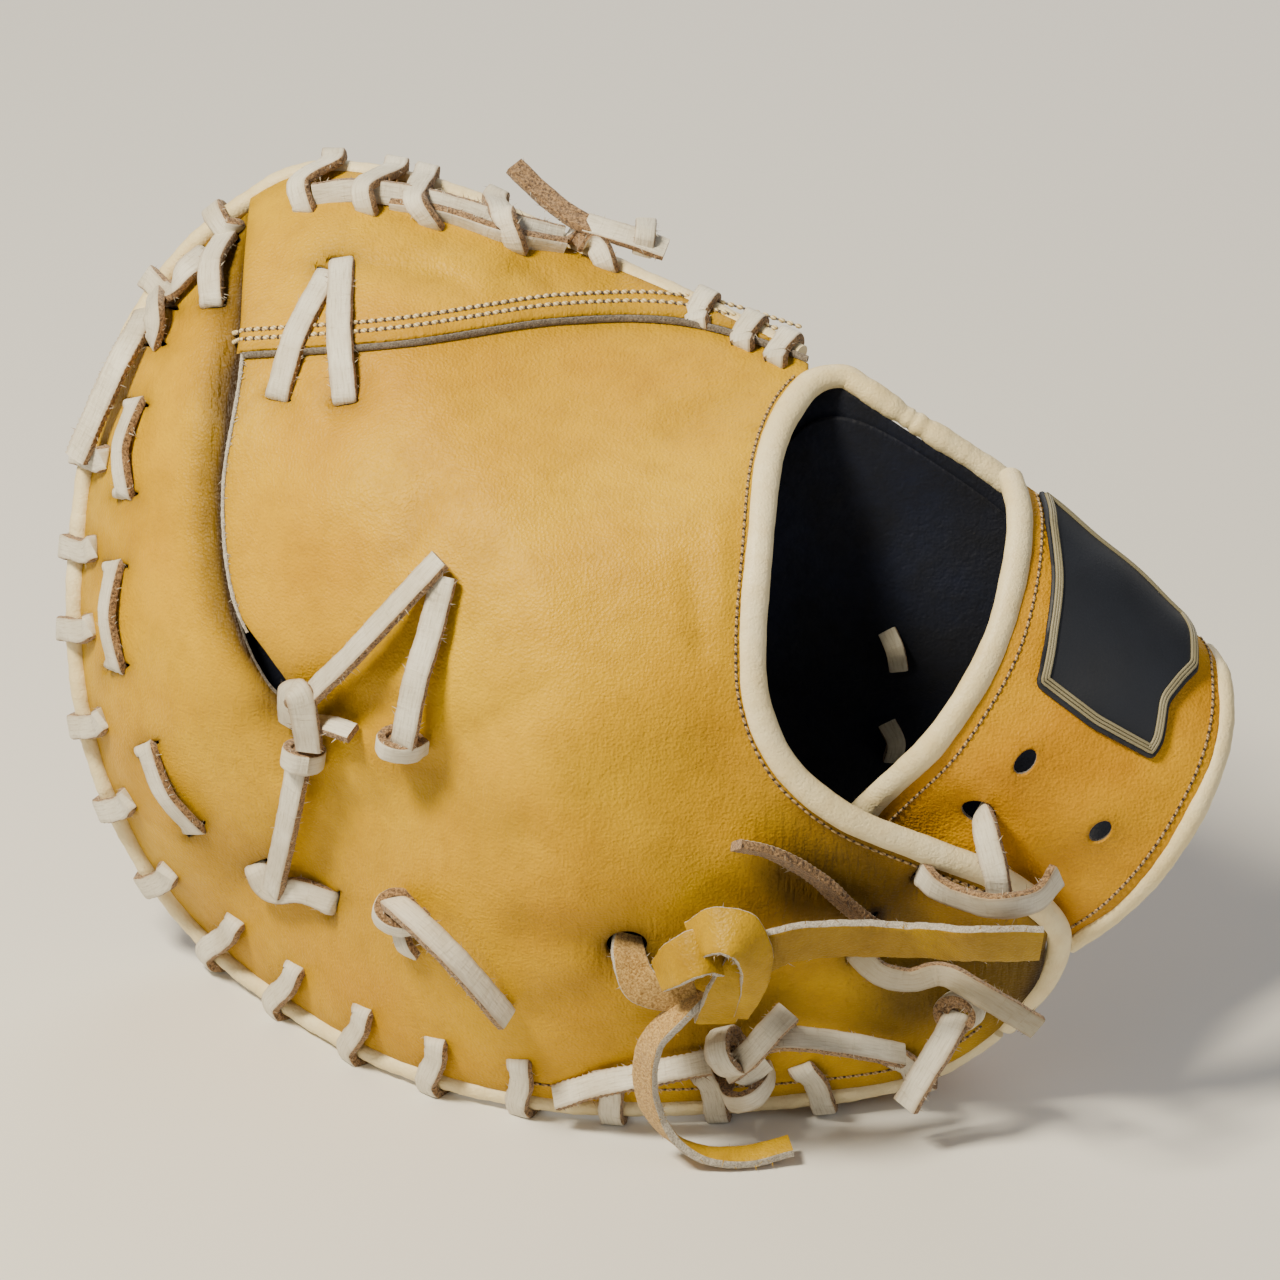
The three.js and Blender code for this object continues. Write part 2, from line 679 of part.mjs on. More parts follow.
function palmPanels() {
  const wall = fieldWall(palmHeight, palmEdge, [() => 0, (share) => -padding(share)], PALM_GRID);
  const hole = prism(grownOutline([
    { x: CROTCH_HOLE.x - CROTCH_HOLE.radius, y: CROTCH_HOLE.y },
    { x: CROTCH_HOLE.x, y: CROTCH_HOLE.y - CROTCH_HOLE.radius },
    { x: CROTCH_HOLE.x + CROTCH_HOLE.radius, y: CROTCH_HOLE.y },
    { x: CROTCH_HOLE.x, y: CROTCH_HOLE.y + CROTCH_HOLE.radius },
  ], 0, STEPS.hole));
  const solid = clearOfBindings(wall.subtract(hole));
  const webPrism = (grow) => prism(grownOutline(WEB_LINE, grow, STEPS.outline));
  addPart("palm_shell", trimmed(solid.subtract(webPrism(GAP))), LEATHER_TAN);
  addPart("web_panel", trimmed(solid.intersect(webPrism(0))), LEATHER_TAN);
}

// The dark lining lies on the palm's inner face behind the hand opening
function handLining() {
  const wall = fieldWall(palmHeight, palmEdge, [() => GAP + LINING, () => GAP], PALM_GRID);
  const outline = prism(grownOutline(LINING_LINE, 0, STEPS.line + 4));
  addPart("hand_lining", geometryFrom(wall.intersect(outline)), LINING_NAVY);
}

const strapCurve = (pointOf) => new THREE.CatmullRomCurve3(STRAP.map(pointOf), false, "centripetal");
const strapCurves = {
  hand: strapCurve((row) => new THREE.Vector3(row.x, row.y, row.z)),
  wrist: strapCurve((row) => new THREE.Vector3(row.wristX, row.wristY, row.wristZ)),
};

function strapPoint(along, across, lift) {
  const at = (a, b) => strapCurves.hand.getPoint(a).lerp(strapCurves.wrist.getPoint(a), b);
  const probe = 0.02;
  const low = Math.max(along - probe, 0);
  const high = Math.min(along + probe, 1);
  const length = at(high, across).sub(at(low, across));
  const width = at(along, 1).sub(at(along, 0));
  const normal = new THREE.Vector3().crossVectors(length, width).normalize();
  return at(along, across).addScaledVector(normal, lift);
}

// A layer of the strap between two heights, from its fold to a share of its length
function strapLayer(low, high, steps, end) {
  const rings = Array.from({ length: steps + 1 }, (_, i) => {
    const along = (end * i) / steps;
    const width = strapCurves.hand.getPoint(along).distanceTo(strapCurves.wrist.getPoint(along));
    const first = (BINDING.opening + GAP) / width;
    const last = 1 - (BINDING.strap + GAP) / width;
    const across = [0, 1, 2].map((k) => first + ((last - first) * k) / 2);
    const front = across.map((b) => strapPoint(along, b, high)).reverse();
    const rear = across.map((b) => strapPoint(along, b, low));
    return [...front, ...rear];
  });
  return solidOf(loft(rings));
}

function wristStrap() {
  const steps = STEPS.strap;
  const { radius, length, turn, z, at } = STRAP_HOLES;
  const holes = at.map((hole) => {
    const drill = new THREE.CylinderGeometry(radius, radius, length, STEPS.hole);
    drill.rotateX(Math.PI / 2);
    drill.rotateY(turn);
    drill.translate(hole.x, hole.y, z);
    return solidOf(drill);
  });
  const whole = strapLayer(-LEATHER / 2, LEATHER / 2, steps, 1);
  const strap = holes.reduce((solid, hole) => solid.subtract(hole), whole);
  addPart("wrist_strap", geometryFrom(strap), LEATHER_TAN);
  const low = LEATHER / 2 + GAP;
  const patchSteps = Math.round(steps * PATCH.end);
  const layer = strapLayer(low, low + PATCH.thick, patchSteps, patchSteps / steps);
  addPart("strap_patch", geometryFrom(layer.intersect(prism(PATCH.outline, PATCH.depth))), RUBBER_NAVY);
}

function bindingRolls() {
  const openingPath = OPENING_LINE.map((p) => onBack(p.x, p.y, -LEATHER / 2));
  const lobeRows = EDGE.slice(-3).reverse();
  const lobePath = lobeRows.map((row) => edgePoint(angleOf(row), BINDING.opening).middle);
  const wholePath = [...openingPath.slice(0, -1), ...lobePath];
  const openingRoll = (grow) => solidOf(roll(wholePath, BINDING.opening + grow, STEPS.openingRoll));

  const start = angleOf(EDGE[0]) + BINDING_ENDS.edgeStart;
  const end = angleOf(EDGE[EDGE.length - 3]) + 2 * Math.PI - BINDING_ENDS.edgeEnd;
  const edgeAngle = (i) => start + ((end - start) * i) / STEPS.edge;
  const edgePath = Array.from({ length: STEPS.edge + 1 }, (_, i) => edgePoint(edgeAngle(i)).middle);
  const edgeRoll = (grow) => solidOf(roll(edgePath, BINDING.edge + grow, STEPS.edge));

  const rimStart = angleOf(ROUND_WRIST[ROUND_WRIST.length - 2]) + BINDING_ENDS.rimStart;
  const rimEnd = angleOf(EDGE[0]) - BINDING_ENDS.rimEnd;
  const rimAngle = (i) => rimStart + ((rimEnd - rimStart) * i) / STEPS.rim;
  const rimPoint = (i) => edgePoint(rimAngle(i), BINDING.rim, palmEdge, palmHeight).middle;
  const rimPath = Array.from({ length: STEPS.rim + 1 }, (_, i) => rimPoint(i));
  const rimRoll = (grow) => solidOf(roll(rimPath, BINDING.rim + grow, STEPS.rimRoll));
  return { opening_binding: openingRoll, edge_binding: edgeRoll, rim_binding: rimRoll };
}

function bindings() {
  Object.entries(bindingRolls()).forEach(([name, rollOf]) => {
    addPart(name, trimmed(rollOf(0)), BINDING_CREAM);
  });
  const strapRoll = (curve, radius) => roll(curve.getPoints(2 * STRAP.length - 2), radius, STEPS.line);
  addPart("strap_hand_binding", strapRoll(strapCurves.hand, BINDING.opening), BINDING_CREAM);
  addPart("strap_wrist_binding", strapRoll(strapCurves.wrist, BINDING.strap), BINDING_CREAM);
}

// One lace loop over the edge binding, from a hole in the back to a hole in the palm
function edgeLoop(angle, loop) {
  const { out, along, normal, middle } = edgePoint(angle);
  const reach = backEdge(angle).radius;
  const back = (inset) => {
    const x = CENTRE.x + (reach - inset) * Math.cos(angle);
    const y = CENTRE.y + (reach - inset) * Math.sin(angle);
    return onBack(x, y, loop.lift);
  };
  const palm = (inset) => {
    const radius = palmEdge(angle).radius - inset;
    const x = CENTRE.x + radius * Math.cos(angle);
    const y = CENTRE.y + radius * Math.sin(angle);
    const pad = padding(radius / palmEdge(angle).radius);
    return pointOn(palmHeight, x, y, -pad - LACE.lift - LOOP_CLEAR.palm);
  };
  const ring = BINDING.edge + LACE.thick / 2 + LOOP_CLEAR.binding;
  const round = (turn) => {
    const rise = middle.clone().addScaledVector(normal, ring * Math.cos(turn));
    return rise.addScaledVector(out, ring * Math.sin(turn));
  };
  const turns = [20, 70, 110, 160].map(degrees);
  const start = [back(loop.back), back(loop.back * 0.45)];
  const end = [palm(loop.palm * 0.5), palm(loop.palm)];
  const points = [...start, ...turns.map(round), ...end];
  const across = points.map(() => along.clone());
  return ribbon(points, across, LACE.width, LACE.thick, STEPS.loop);
}

const isClear = (row) => row.z !== undefined;

function lacePoint(row) {
  return isClear(row) ? new THREE.Vector3(row.x, row.y, row.z) : onBack(row.x, row.y, row.lift ?? LACE.lift);
}

function laceFace(row) {
  return isClear(row) ? new THREE.Vector3().copy(CLEAR_FACE) : normalOf(backHeight, row.x, row.y);
}

// A flat lace over the back, through its rows
function surfaceLace(rows, size) {
  const points = rows.map(lacePoint);
  const across = rows.map((row, i) => {
    const from = points[Math.max(i - 1, 0)];
    const to = points[Math.min(i + 1, rows.length - 1)];
    return new THREE.Vector3().crossVectors(laceFace(row), to.clone().sub(from)).normalize();
  });
  return solidOf(ribbon(points, across, size.width, size.thick, 4 * (rows.length - 1)));
}

// A knot, as a flattened ball over the back
function knotSolid(knot) {
  const ball = new THREE.SphereGeometry(1, 10, 7);
  ball.scale(knot.size.x, knot.size.y, knot.size.z);
  const outwards = new THREE.Vector3(0, 0, 1);
  const normal = normalOf(backHeight, knot.x, knot.y);
  ball.applyQuaternion(new THREE.Quaternion().setFromUnitVectors(outwards, normal));
  const middle = onBack(knot.x, knot.y, knot.lift);
  ball.translate(middle.x, middle.y, middle.z);
  return solidOf(ball);
}

function laceSolid(lace, size) {
  const solids = lace.strands.map((rows) => surfaceLace(rows, size));
  if (lace.knot) {
    solids.push(knotSolid(lace.knot));
  }
  return solids.reduce((joined, solid) => joined.add(solid));
}

function laces() {
  const loops = LOOPS.flatMap((loop) => loop.angles.map((angle) => edgeLoop(degrees(angle), loop)));
  loops.forEach((loop, i) => {
    const name = `edge_loop_${String(i + 1).padStart(2, "0")}`;
    addPart(name, trimmed(solidOf(loop)), LACE_GREY);
  });
  LACES.forEach((lace) => addPart(lace.name, trimmed(laceSolid(lace, LACE)), LACE_GREY));
  addPart(THONG_LACE.name, trimmed(laceSolid(THONG_LACE, THONG)), LEATHER_TAN);
}

backPanels();
palmPanels();
handLining();
wristStrap();
bindings();
laces();

mitt.rotation.x = LEAN;
mitt.position.set(STAND.x, STAND.y, STAND.z);

const glove = new THREE.Group();
glove.add(mitt);

export default glove;
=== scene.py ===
import math

import bpy
import numpy as np
from mathutils.geometry import delaunay_2d_cdt
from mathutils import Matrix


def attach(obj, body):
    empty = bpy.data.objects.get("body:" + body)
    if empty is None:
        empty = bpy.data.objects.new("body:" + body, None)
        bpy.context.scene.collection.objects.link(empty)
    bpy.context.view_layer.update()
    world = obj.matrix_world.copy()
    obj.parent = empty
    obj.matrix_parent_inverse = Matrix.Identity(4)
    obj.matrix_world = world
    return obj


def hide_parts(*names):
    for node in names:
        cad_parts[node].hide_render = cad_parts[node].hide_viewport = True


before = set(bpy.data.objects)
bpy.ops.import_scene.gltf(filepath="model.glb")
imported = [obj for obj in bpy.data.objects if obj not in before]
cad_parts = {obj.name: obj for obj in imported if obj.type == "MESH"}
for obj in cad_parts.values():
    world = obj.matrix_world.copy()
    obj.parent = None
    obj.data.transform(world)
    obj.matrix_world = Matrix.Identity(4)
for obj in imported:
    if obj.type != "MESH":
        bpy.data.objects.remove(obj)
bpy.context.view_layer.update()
bpy.ops.object.select_all(action="DESELECT")
print("frame loaded:", len(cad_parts), "nodes")

# A left-hand first base mitt in tan leather. It is drawn in mm in a leaning frame:
# x to the wrist, y up the mitt's back, z out of its back.
stand = {"lean": 60, "x": -0.75, "y": 13.8, "z": 107.6}


def toWorld(points):
    x, y, z = np.asarray(points, float).T
    lean = math.radians(stand["lean"])
    across = x + stand["x"]
    depth = y * math.cos(lean) - z * math.sin(lean) + stand["y"]
    height = y * math.sin(lean) + z * math.cos(lean) + stand["z"]
    # leather lies flat on the ground
    return np.column_stack([across, depth, np.maximum(height, 0.05)]) / 1000


# Lines and directions

def unit(vectors):
    return vectors / np.maximum(np.linalg.norm(vectors, axis=-1, keepdims=True), 1e-9)


def smooth(value):
    value = np.clip(value, 0, 1)
    return value * value * (3 - 2 * value)


# A curve through points, a centripetal Catmull-Rom as in the CAD, at shares of its rows
def curveAt(points, shares, closed=False):
    points = np.asarray(points, float)
    count = len(points)
    spot = np.asarray(shares, float) * (count if closed else count - 1)
    index = np.floor(spot).astype(int)
    if not closed:
        index = np.clip(index, 0, count - 2)
    w = (spot - index)[:, None]
    if closed:
        rows = [points[(index + k) % count] for k in (-1, 0, 1, 2)]
    else:
        padded = np.vstack([2 * points[0] - points[1], points, 2 * points[-1] - points[-2]])
        rows = [padded[index + k] for k in (0, 1, 2, 3)]
    a, b, c, d = rows
    first, middle, last = [np.maximum(np.linalg.norm(q - p, axis=1, keepdims=True), 1e-6) ** 0.5
                           for p, q in ((a, b), (b, c), (c, d))]
    enter = ((b - a) / first - (c - a) / (first + middle) + (c - b) / middle) * middle
    leave = ((c - b) / middle - (d - b) / (middle + last) + (d - c) / last) * middle
    return b + enter * w + (3 * (c - b) - 2 * enter - leave) * w**2 + (2 * (b - c) + enter + leave) * w**3


# Points every few mm along a line
def evenly(line, step, closed=False):
    line = np.asarray(line, float)
    if closed:
        line = np.vstack([line, line[:1]])
    length = np.concatenate([[0], np.cumsum(np.linalg.norm(np.diff(line, axis=0), axis=1))])
    count = max(int(math.ceil(length[-1] / step)), 3)
    spots = np.linspace(0, length[-1], count + 1)
    even = np.column_stack([np.interp(spots, length, column) for column in line.T])
    return even[:-1] if closed else even


def smoothLine(points, step, closed=False):
    return evenly(curveAt(points, np.linspace(0, 1, 40 * len(points)), closed), step)


def leftOf(line, offset):
    ahead = unit(np.gradient(line, axis=0))
    return line + np.column_stack([-ahead[:, 1], ahead[:, 0]]) * np.reshape(offset, (-1, 1))


# Distance to a line, which side a point is on (left is positive) and how far along
def besideLine(flat, line):
    near = np.full(len(flat), np.inf)
    side = np.zeros(len(flat))
    along = np.zeros(len(flat))
    walked = 0.0
    for a, b in zip(line[:-1], line[1:]):
        run = b - a
        length = np.linalg.norm(run)
        t = np.clip(((flat - a) @ run) / length**2, 0, 1)
        off = flat - a - t[:, None] * run
        distance = np.hypot(off[:, 0], off[:, 1])
        closer = distance < near
        near = np.where(closer, distance, near)
        side = np.where(closer, np.sign(run[0] * off[:, 1] - run[1] * off[:, 0]), side)
        along = np.where(closer, walked + t * length, along)
        walked += length
    return near, side, along


def insideOf(flat, loop):
    inside = np.zeros(len(flat), bool)
    for (x1, y1), (x2, y2) in zip(loop, np.roll(loop, -1, axis=0)):
        crosses = (y1 > flat[:, 1]) != (y2 > flat[:, 1])
        reach = (x2 - x1) * (flat[:, 1] - y1) / (y2 - y1 + 1e-12) + x1
        inside ^= crosses & (flat[:, 0] < reach)
    return inside


# The mitt's surfaces
shell = {
    "gap": 0.35,
    "leather": 2.5,
    "palmPad": 6.0,
    "lining": 1.4,
    "centre": (-15, -5),
    "backTop": 76,
    "palmTop": {"fingersX": -110, "fingersZ": 46, "wristX": 60, "wristZ": 14},
    "softMiddle": 0.02,
    "seamStep": 1.2,
    # The laced edge from the thumb side of the hand opening round the fingers to the heel: x, y, z, lip
    "edge": [
        (50, 68, 38, 0.03), (23, 82, 24, 0.03), (-10, 97, 11, 0.04), (-52, 116, 0, 0.05),
        (-87, 121, -8, 0.06),
        (-106, 111, -14, 0.09), (-123, 95, -22, 0.15), (-137, 70, -25, 0.18), (-144, 45, -28, 0.18),
        (-147, 0, -34, 0.18), (-142, -31, -42, 0.16), (-130, -58, -54, 0.12), (-117, -75, -62, 0.08),
        (-99, -90, -46, 0.05), (-70, -107, -17, 0.04), (-46, -115, -3, 0.03), (-15, -120, 6, 0.03),
        (42, -118, 5, 0.03), (76, -112, 4, 0.03), (93, -101, 13, 0.03), (103, -88, 26, 0.03),
        (105, -76, 40, 0.03),
    ],
    "overOpening": [(114, -48, 50, 0.03), (120, -8, 52, 0.03), (98, 38, 47, 0.03)],
    "roundWrist": [
        (112, -77, 14, 0.03), (122, -56, 2, 0.03), (130, -32, 0, 0.03), (146, -7, 23, 0.03),
        (120, 16, 29, 0.03), (90, 40, 31, 0.03), (68.6, 53.6, 35, 0.03),
    ],
    # Swells and hollows: x, y, radius, height
    "swells": [(-14, -62, 42, 7), (-88, -22, 17, -6), (22, 30, 34, 5), (-40, 66, 22, -3)],
    "heelPad": {"x": 70, "radius": 40, "z": -58, "start": 0.035, "full": 0.135, "end": 0.4, "y": -22,
                "fade": 46},
    "opening": [(45.4, 67.6), (38.6, 60), (33.4, 47), (30.5, 21), (29, 0), (30, -16), (37, -32), (51.7, -45),
                (73.6, -54.5),
                (94, -62.7), (106, -73)],
    "slit": [(-101, 128), (-103, 100), (-104.5, 70), (-109, 38), (-106, 10), (-98, -6), (-88, -20)],
    "seam": [(-109, 74), (-62, 77), (-21, 83), (10, 83), (36, 76), (60, 66)],
    "web": [(-72, 108), (-104, 96), (-124, 74), (-129, 34), (-116, 2), (-82, 6), (-60, 38), (-56, 84)],
    "liningEdge": [(22, 0), (30, -32), (62, -46), (100, -40), (120, -22), (112, 14), (80, 44), (48, 58),
                   (28, 34)],
}
# The worn back: how deep its creases go, the raised left lip and the rolled right lip of the slit with their
# widths, where along the slit they start and end, and how dark the painted shade of its folds, the roll and
# the darker spots is
wornBack = {
    "creaseDepth": 1.5, "lipRise": 1.5, "lipWidth": 7, "rollDrop": 6.0, "rollWidth": 7.5,
    "rollStart": 4, "rollFull": 28, "rollFades": 118, "rollEnd": 152, "slow": 0.28, "broad": 0.4,
    "foldShade": 0.11, "rollShade": 0.3, "spotShade": 0.85, "darkest": 0.8,
    "slitDent": (5.5, -1.3), "loopDent": (6, -0.9), "thongDent": (8, -2.6),
}
# Its creases: from x, y to x, y, half width, height
creases = [
    (-100, -20, -60, -16, 5, -1.6), (-92, -32, -70, -44, 4, -0.9), (-84, -14, -52, 4, 6, -1.3),
    (-58, -34, -30, -52, 9, -1.2), (-54, 40, -62, 20, 4, -0.7), (-6, -79, -34, -74, 6, -1.5),
    (-4, -86, -30, -98, 6, -1.0), (34, -60, 60, -68, 4, -1.4), (22, -52, 44, -78, 7, 1.4),
    (12, 20, 16, -4, 3, -0.6), (20, 30, 22, 6, 3, 0.5), (4, 52, 30, 66, 5, -0.8),
    (-72, 97, -44, 92, 3.5, -0.9), (-58, 104, -38, 90, 3, 0.7), (-34, 99, -22, 91, 2.5, -0.7),
    (-93, 30, -70, 44, 9, 0.9), (-128, 20, -120, -30, 5, 0.8), (-118, -40, -106, -64, 5, -0.9),
    (40, -40, 66, -53, 3, 0.8), (-30, 12, -2, 24, 12, 0.9), (-20, -40, 24, -26, 14, -1.0),
    (70, -72, 88, -92, 5, -1.2), (52, -90, 70, -104, 5, 0.9), (-80, 58, -70, 70, 5, -0.8),
]


def edgeTable(rows):
    rows = np.array(rows, float)
    shares = np.arange(720) / 720
    ring = curveAt(rows[:, :3], shares, closed=True)
    lips = np.interp(shares * len(rows), np.arange(len(rows) + 1), np.append(rows[:, 3], rows[0, 3]))
    out = ring[:, :2] - shell["centre"]
    angle = np.arctan2(out[:, 1], out[:, 0]) % (2 * np.pi)
    order = np.argsort(angle)
    return angle[order], np.hypot(out[:, 0], out[:, 1])[order], ring[order, 2], lips[order]


def edgeAt(table, angle):
    return [np.interp(angle % (2 * np.pi), table[0], column, period=2 * np.pi) for column in table[1:]]


def polar(flat):
    out = np.asarray(flat, float) - shell["centre"]
    return np.arctan2(out[:, 1], out[:, 0]), np.hypot(out[:, 0], out[:, 1])


def fromPolar(angle, reach):
    return np.column_stack([np.cos(angle), np.sin(angle)]) * np.reshape(reach, (-1, 1)) + shell["centre"]


def angleOf(row):
    return math.atan2(row[1] - shell["centre"][1], row[0] - shell["centre"][0])


# How much of the drop to the edge is done, with a round top in place of a point
def fall(share, lip):
    soft = shell["softMiddle"]
    dome = ((share**2 + soft) ** 0.8 - soft**0.8) / ((1 + soft) ** 0.8 - soft**0.8)
    return (1 - lip) * dome + lip * share**24


backEdge = edgeTable(shell["edge"] + shell["overOpening"])
slitLine = smoothLine(shell["slit"], 3)
seamLine = smoothLine(shell["seam"], 3)
loopHoles = []  # filled when the laces are laid out: where a lace goes through the back


def plainBack(flat):
    angle, distance = polar(flat)
    radius, z, lip = edgeAt(backEdge, angle)
    share = distance / radius
    x, y = flat.T
    swells = sum(h * np.exp(-((x - a) ** 2 + (y - b) ** 2) / r**2) for a, b, r, h in shell["swells"])
    drop = (z - shell["backTop"]) * fall(share, lip)
    return shell["backTop"] + drop + swells * (1 - smooth((share - 0.7) / 0.3))


# What wear and lacing do to the back: the rolled slit, creases, dents at the laces and a slow unevenness
def backDetail(flat):
    x, y = flat.T
    near, side, along = besideLine(flat, slitLine)
    worn = wornBack
    fade = (smooth((worn["rollEnd"] - along) / (worn["rollEnd"] - worn["rollFades"]))
            * smooth((along - worn["rollStart"]) / (worn["rollFull"] - worn["rollStart"])))
    rolled = np.where(side > 0, worn["lipRise"] * np.exp(-((near / worn["lipWidth"]) ** 2)),
                      -worn["rollDrop"] * np.exp(-((near / worn["rollWidth"]) ** 2)))
    height = rolled * fade
    for ax, ay, bx, by, width, depth in creases:
        run = np.array([bx - ax, by - ay], float)
        t = ((x - ax) * run[0] + (y - ay) * run[1]) / (run @ run)
        off = ((y - ay) * run[0] - (x - ax) * run[1]) / np.linalg.norm(run)
        ends = np.exp(-(np.clip(np.abs(t - 0.5) - 0.35, 0, 9) / 0.22) ** 2)
        height = height + worn["creaseDepth"] * depth * np.exp(-((off / width) ** 2)) * ends
    for hx, hy, radius, depth in loopHoles:
        height = height + depth * np.exp(-((x - hx) ** 2 + (y - hy) ** 2) / radius**2)
    slow = np.sin(x / 9.1 + 1.3 * np.sin(y / 13)) * np.sin(y / 11.3 + 1.1 * np.sin(x / 17)) * worn["slow"]
    return height + slow + worn["broad"] * np.sin(x / 23 + y / 31) * np.sin(y / 19 - x / 41)


def backHeight(flat):
    return plainBack(flat) + backDetail(flat)


def normalsOf(height, flat, step=0.6):
    slopeX = (height(flat + (step, 0)) - height(flat - (step, 0))) / (2 * step)
    slopeY = (height(flat + (0, step)) - height(flat - (0, step))) / (2 * step)
    return unit(np.column_stack([-slopeX, -slopeY, np.ones(len(flat))]))


def pointsOn(height, flat, lift):
    flat = np.asarray(flat, float)
    return np.column_stack([flat, height(flat)]) + normalsOf(height, flat) * np.reshape(lift, (-1, 1))


# The same, but straight out of the picture, so that x and y stay where the photograph has them
def pointsAbove(height, flat, lift):
    flat = np.asarray(flat, float)
    rise = np.asarray(lift, float) / np.maximum(normalsOf(plainBack, flat)[:, 2], 0.35)
    return np.column_stack([flat, height(flat) + rise])


palmRows = [(*point, row[3]) for row in shell["edge"]
            for point in pointsOn(plainBack, [row[:2]], -(shell["leather"] + shell["gap"]))]
palmEdge = edgeTable(palmRows + shell["roundWrist"])


def palmHeight(flat):
    x, y = flat.T
    angle, distance = polar(flat)
    radius, z, lip = edgeAt(palmEdge, angle)
    share = distance / radius
    top, pad = shell["palmTop"], shell["heelPad"]
    middle = np.interp(x, [top["fingersX"], top["wristX"]], [top["fingersZ"], top["wristZ"]])
    across = np.exp(-(((x - pad["x"]) / pad["radius"]) ** 2))
    inward = smooth((1 - share - pad["start"]) / (pad["full"] - pad["start"]))
    inward = inward * smooth((share - pad["end"]) / (1 - pad["end"] - pad["full"]))
    low = smooth((pad["y"] - y) / pad["fade"])
    return middle + (z - middle) * fall(share, lip) + pad["z"] * across * inward * low


def palmPadding(flat):
    angle, distance = polar(flat)
    share = distance / edgeAt(palmEdge, angle)[0]
    return shell["leather"] + (shell["palmPad"] - shell["leather"]) * smooth((1 - share) / 0.25)


# Where the laced edge runs: its points, the way out, the way along and the way off the leather
def edgeFrame(angles, radius, table=None, height=plainBack):
    table = backEdge if table is None else table
    angles = np.atleast_1d(angles).astype(float)

    def at(turn, share):
        flat = fromPolar(turn, edgeAt(table, turn)[0] * share)
        return np.column_stack([flat, height(flat)])

    point = at(angles, 1)
    out = unit(point - at(angles, 0.985))
    along = unit(at(angles + 0.02, 1) - at(angles - 0.02, 1))
    normal = unit(np.cross(out, along))
    out = unit(np.cross(along, normal))
    middle = point + out * (radius + 0.1) - normal * shell["leather"]
    return middle, out, along, normal


# The rolled binding of that edge stands out a little where the leather falls away steeply
def rollFrame(angles):
    middle, out, along, normal = edgeFrame(angles, lace["bindingEdge"])
    away = fromPolar(np.atleast_1d(angles), 1) - shell["centre"]
    steep = 1 - np.sum(out[:, :2] * away, axis=1)
    steep = steep * smooth((angleOf(shell["edge"][-3]) - np.atleast_1d(angles)) % (2 * np.pi) / 0.35)
    shift = np.column_stack([away, np.full(len(away), 0.3)]) * lace["bindingShift"] * steep[:, None]
    return middle + shift, out, along, normal


# Meshes: each shape is a dictionary of points in mm, faces, the finish of each face and its marks

def shapeOf(points, faces, finish=None, uv=None, shade=None):
    points = np.asarray(points, float)
    return {
        "points": points,
        "faces": [tuple(int(v) for v in face) for face in faces],
        "finish": list(finish) if finish is not None else [0] * len(faces),
        "uv": np.zeros((len(points), 2)) if uv is None else np.asarray(uv, float),
        "shade": np.zeros(len(points)) if shade is None else np.asarray(shade, float),
    }


def joined(shapes):
    faces, finish, start = [], [], 0
    for part in shapes:
        faces += [tuple(v + start for v in face) for face in part["faces"]]
        finish += part["finish"]
        start += len(part["points"])
    stacked = {key: np.concatenate([part[key] for part in shapes]) for key in ("points", "uv", "shade")}
    return {**stacked, "faces": faces, "finish": finish}


# Makes the object, rides it on the body and lets it stand for its CAD nodes
def addPiece(name, shapes, finishes, nodes, flatAngle=50):
    part = joined(shapes)
    mesh = bpy.data.meshes.new(name)
    mesh.from_pydata(toWorld(part["points"]).tolist(), [], part["faces"])
    mesh.polygons.foreach_set("material_index", part["finish"])
    strip = mesh.uv_layers.new(name="strip")
    corner = np.empty(len(mesh.loops), int)
    mesh.loops.foreach_get("vertex_index", corner)
    strip.data.foreach_set("uv", (part["uv"][corner] / 1000).ravel())
    # The wear-and-shade attribute: painted shade of folds, hollows, edges and shaded strands, with some real
    # wear
    wear = mesh.attributes.new("wear", "FLOAT", "POINT")
    wear.data.foreach_set("value", part["shade"].astype(np.float32))
    for finish in finishes:
        mesh.materials.append(finish)
    mesh.validate()
    piece = bpy.data.objects.new(name, mesh)
    bpy.context.scene.collection.objects.link(piece)
    bpy.ops.object.select_all(action="DESELECT")
    piece.select_set(True)
    bpy.context.view_layer.objects.active = piece
    bpy.ops.object.shade_smooth_by_angle(angle=math.radians(flatAngle))
    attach(piece, "root")
    if nodes:
        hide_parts(*nodes)
    return piece


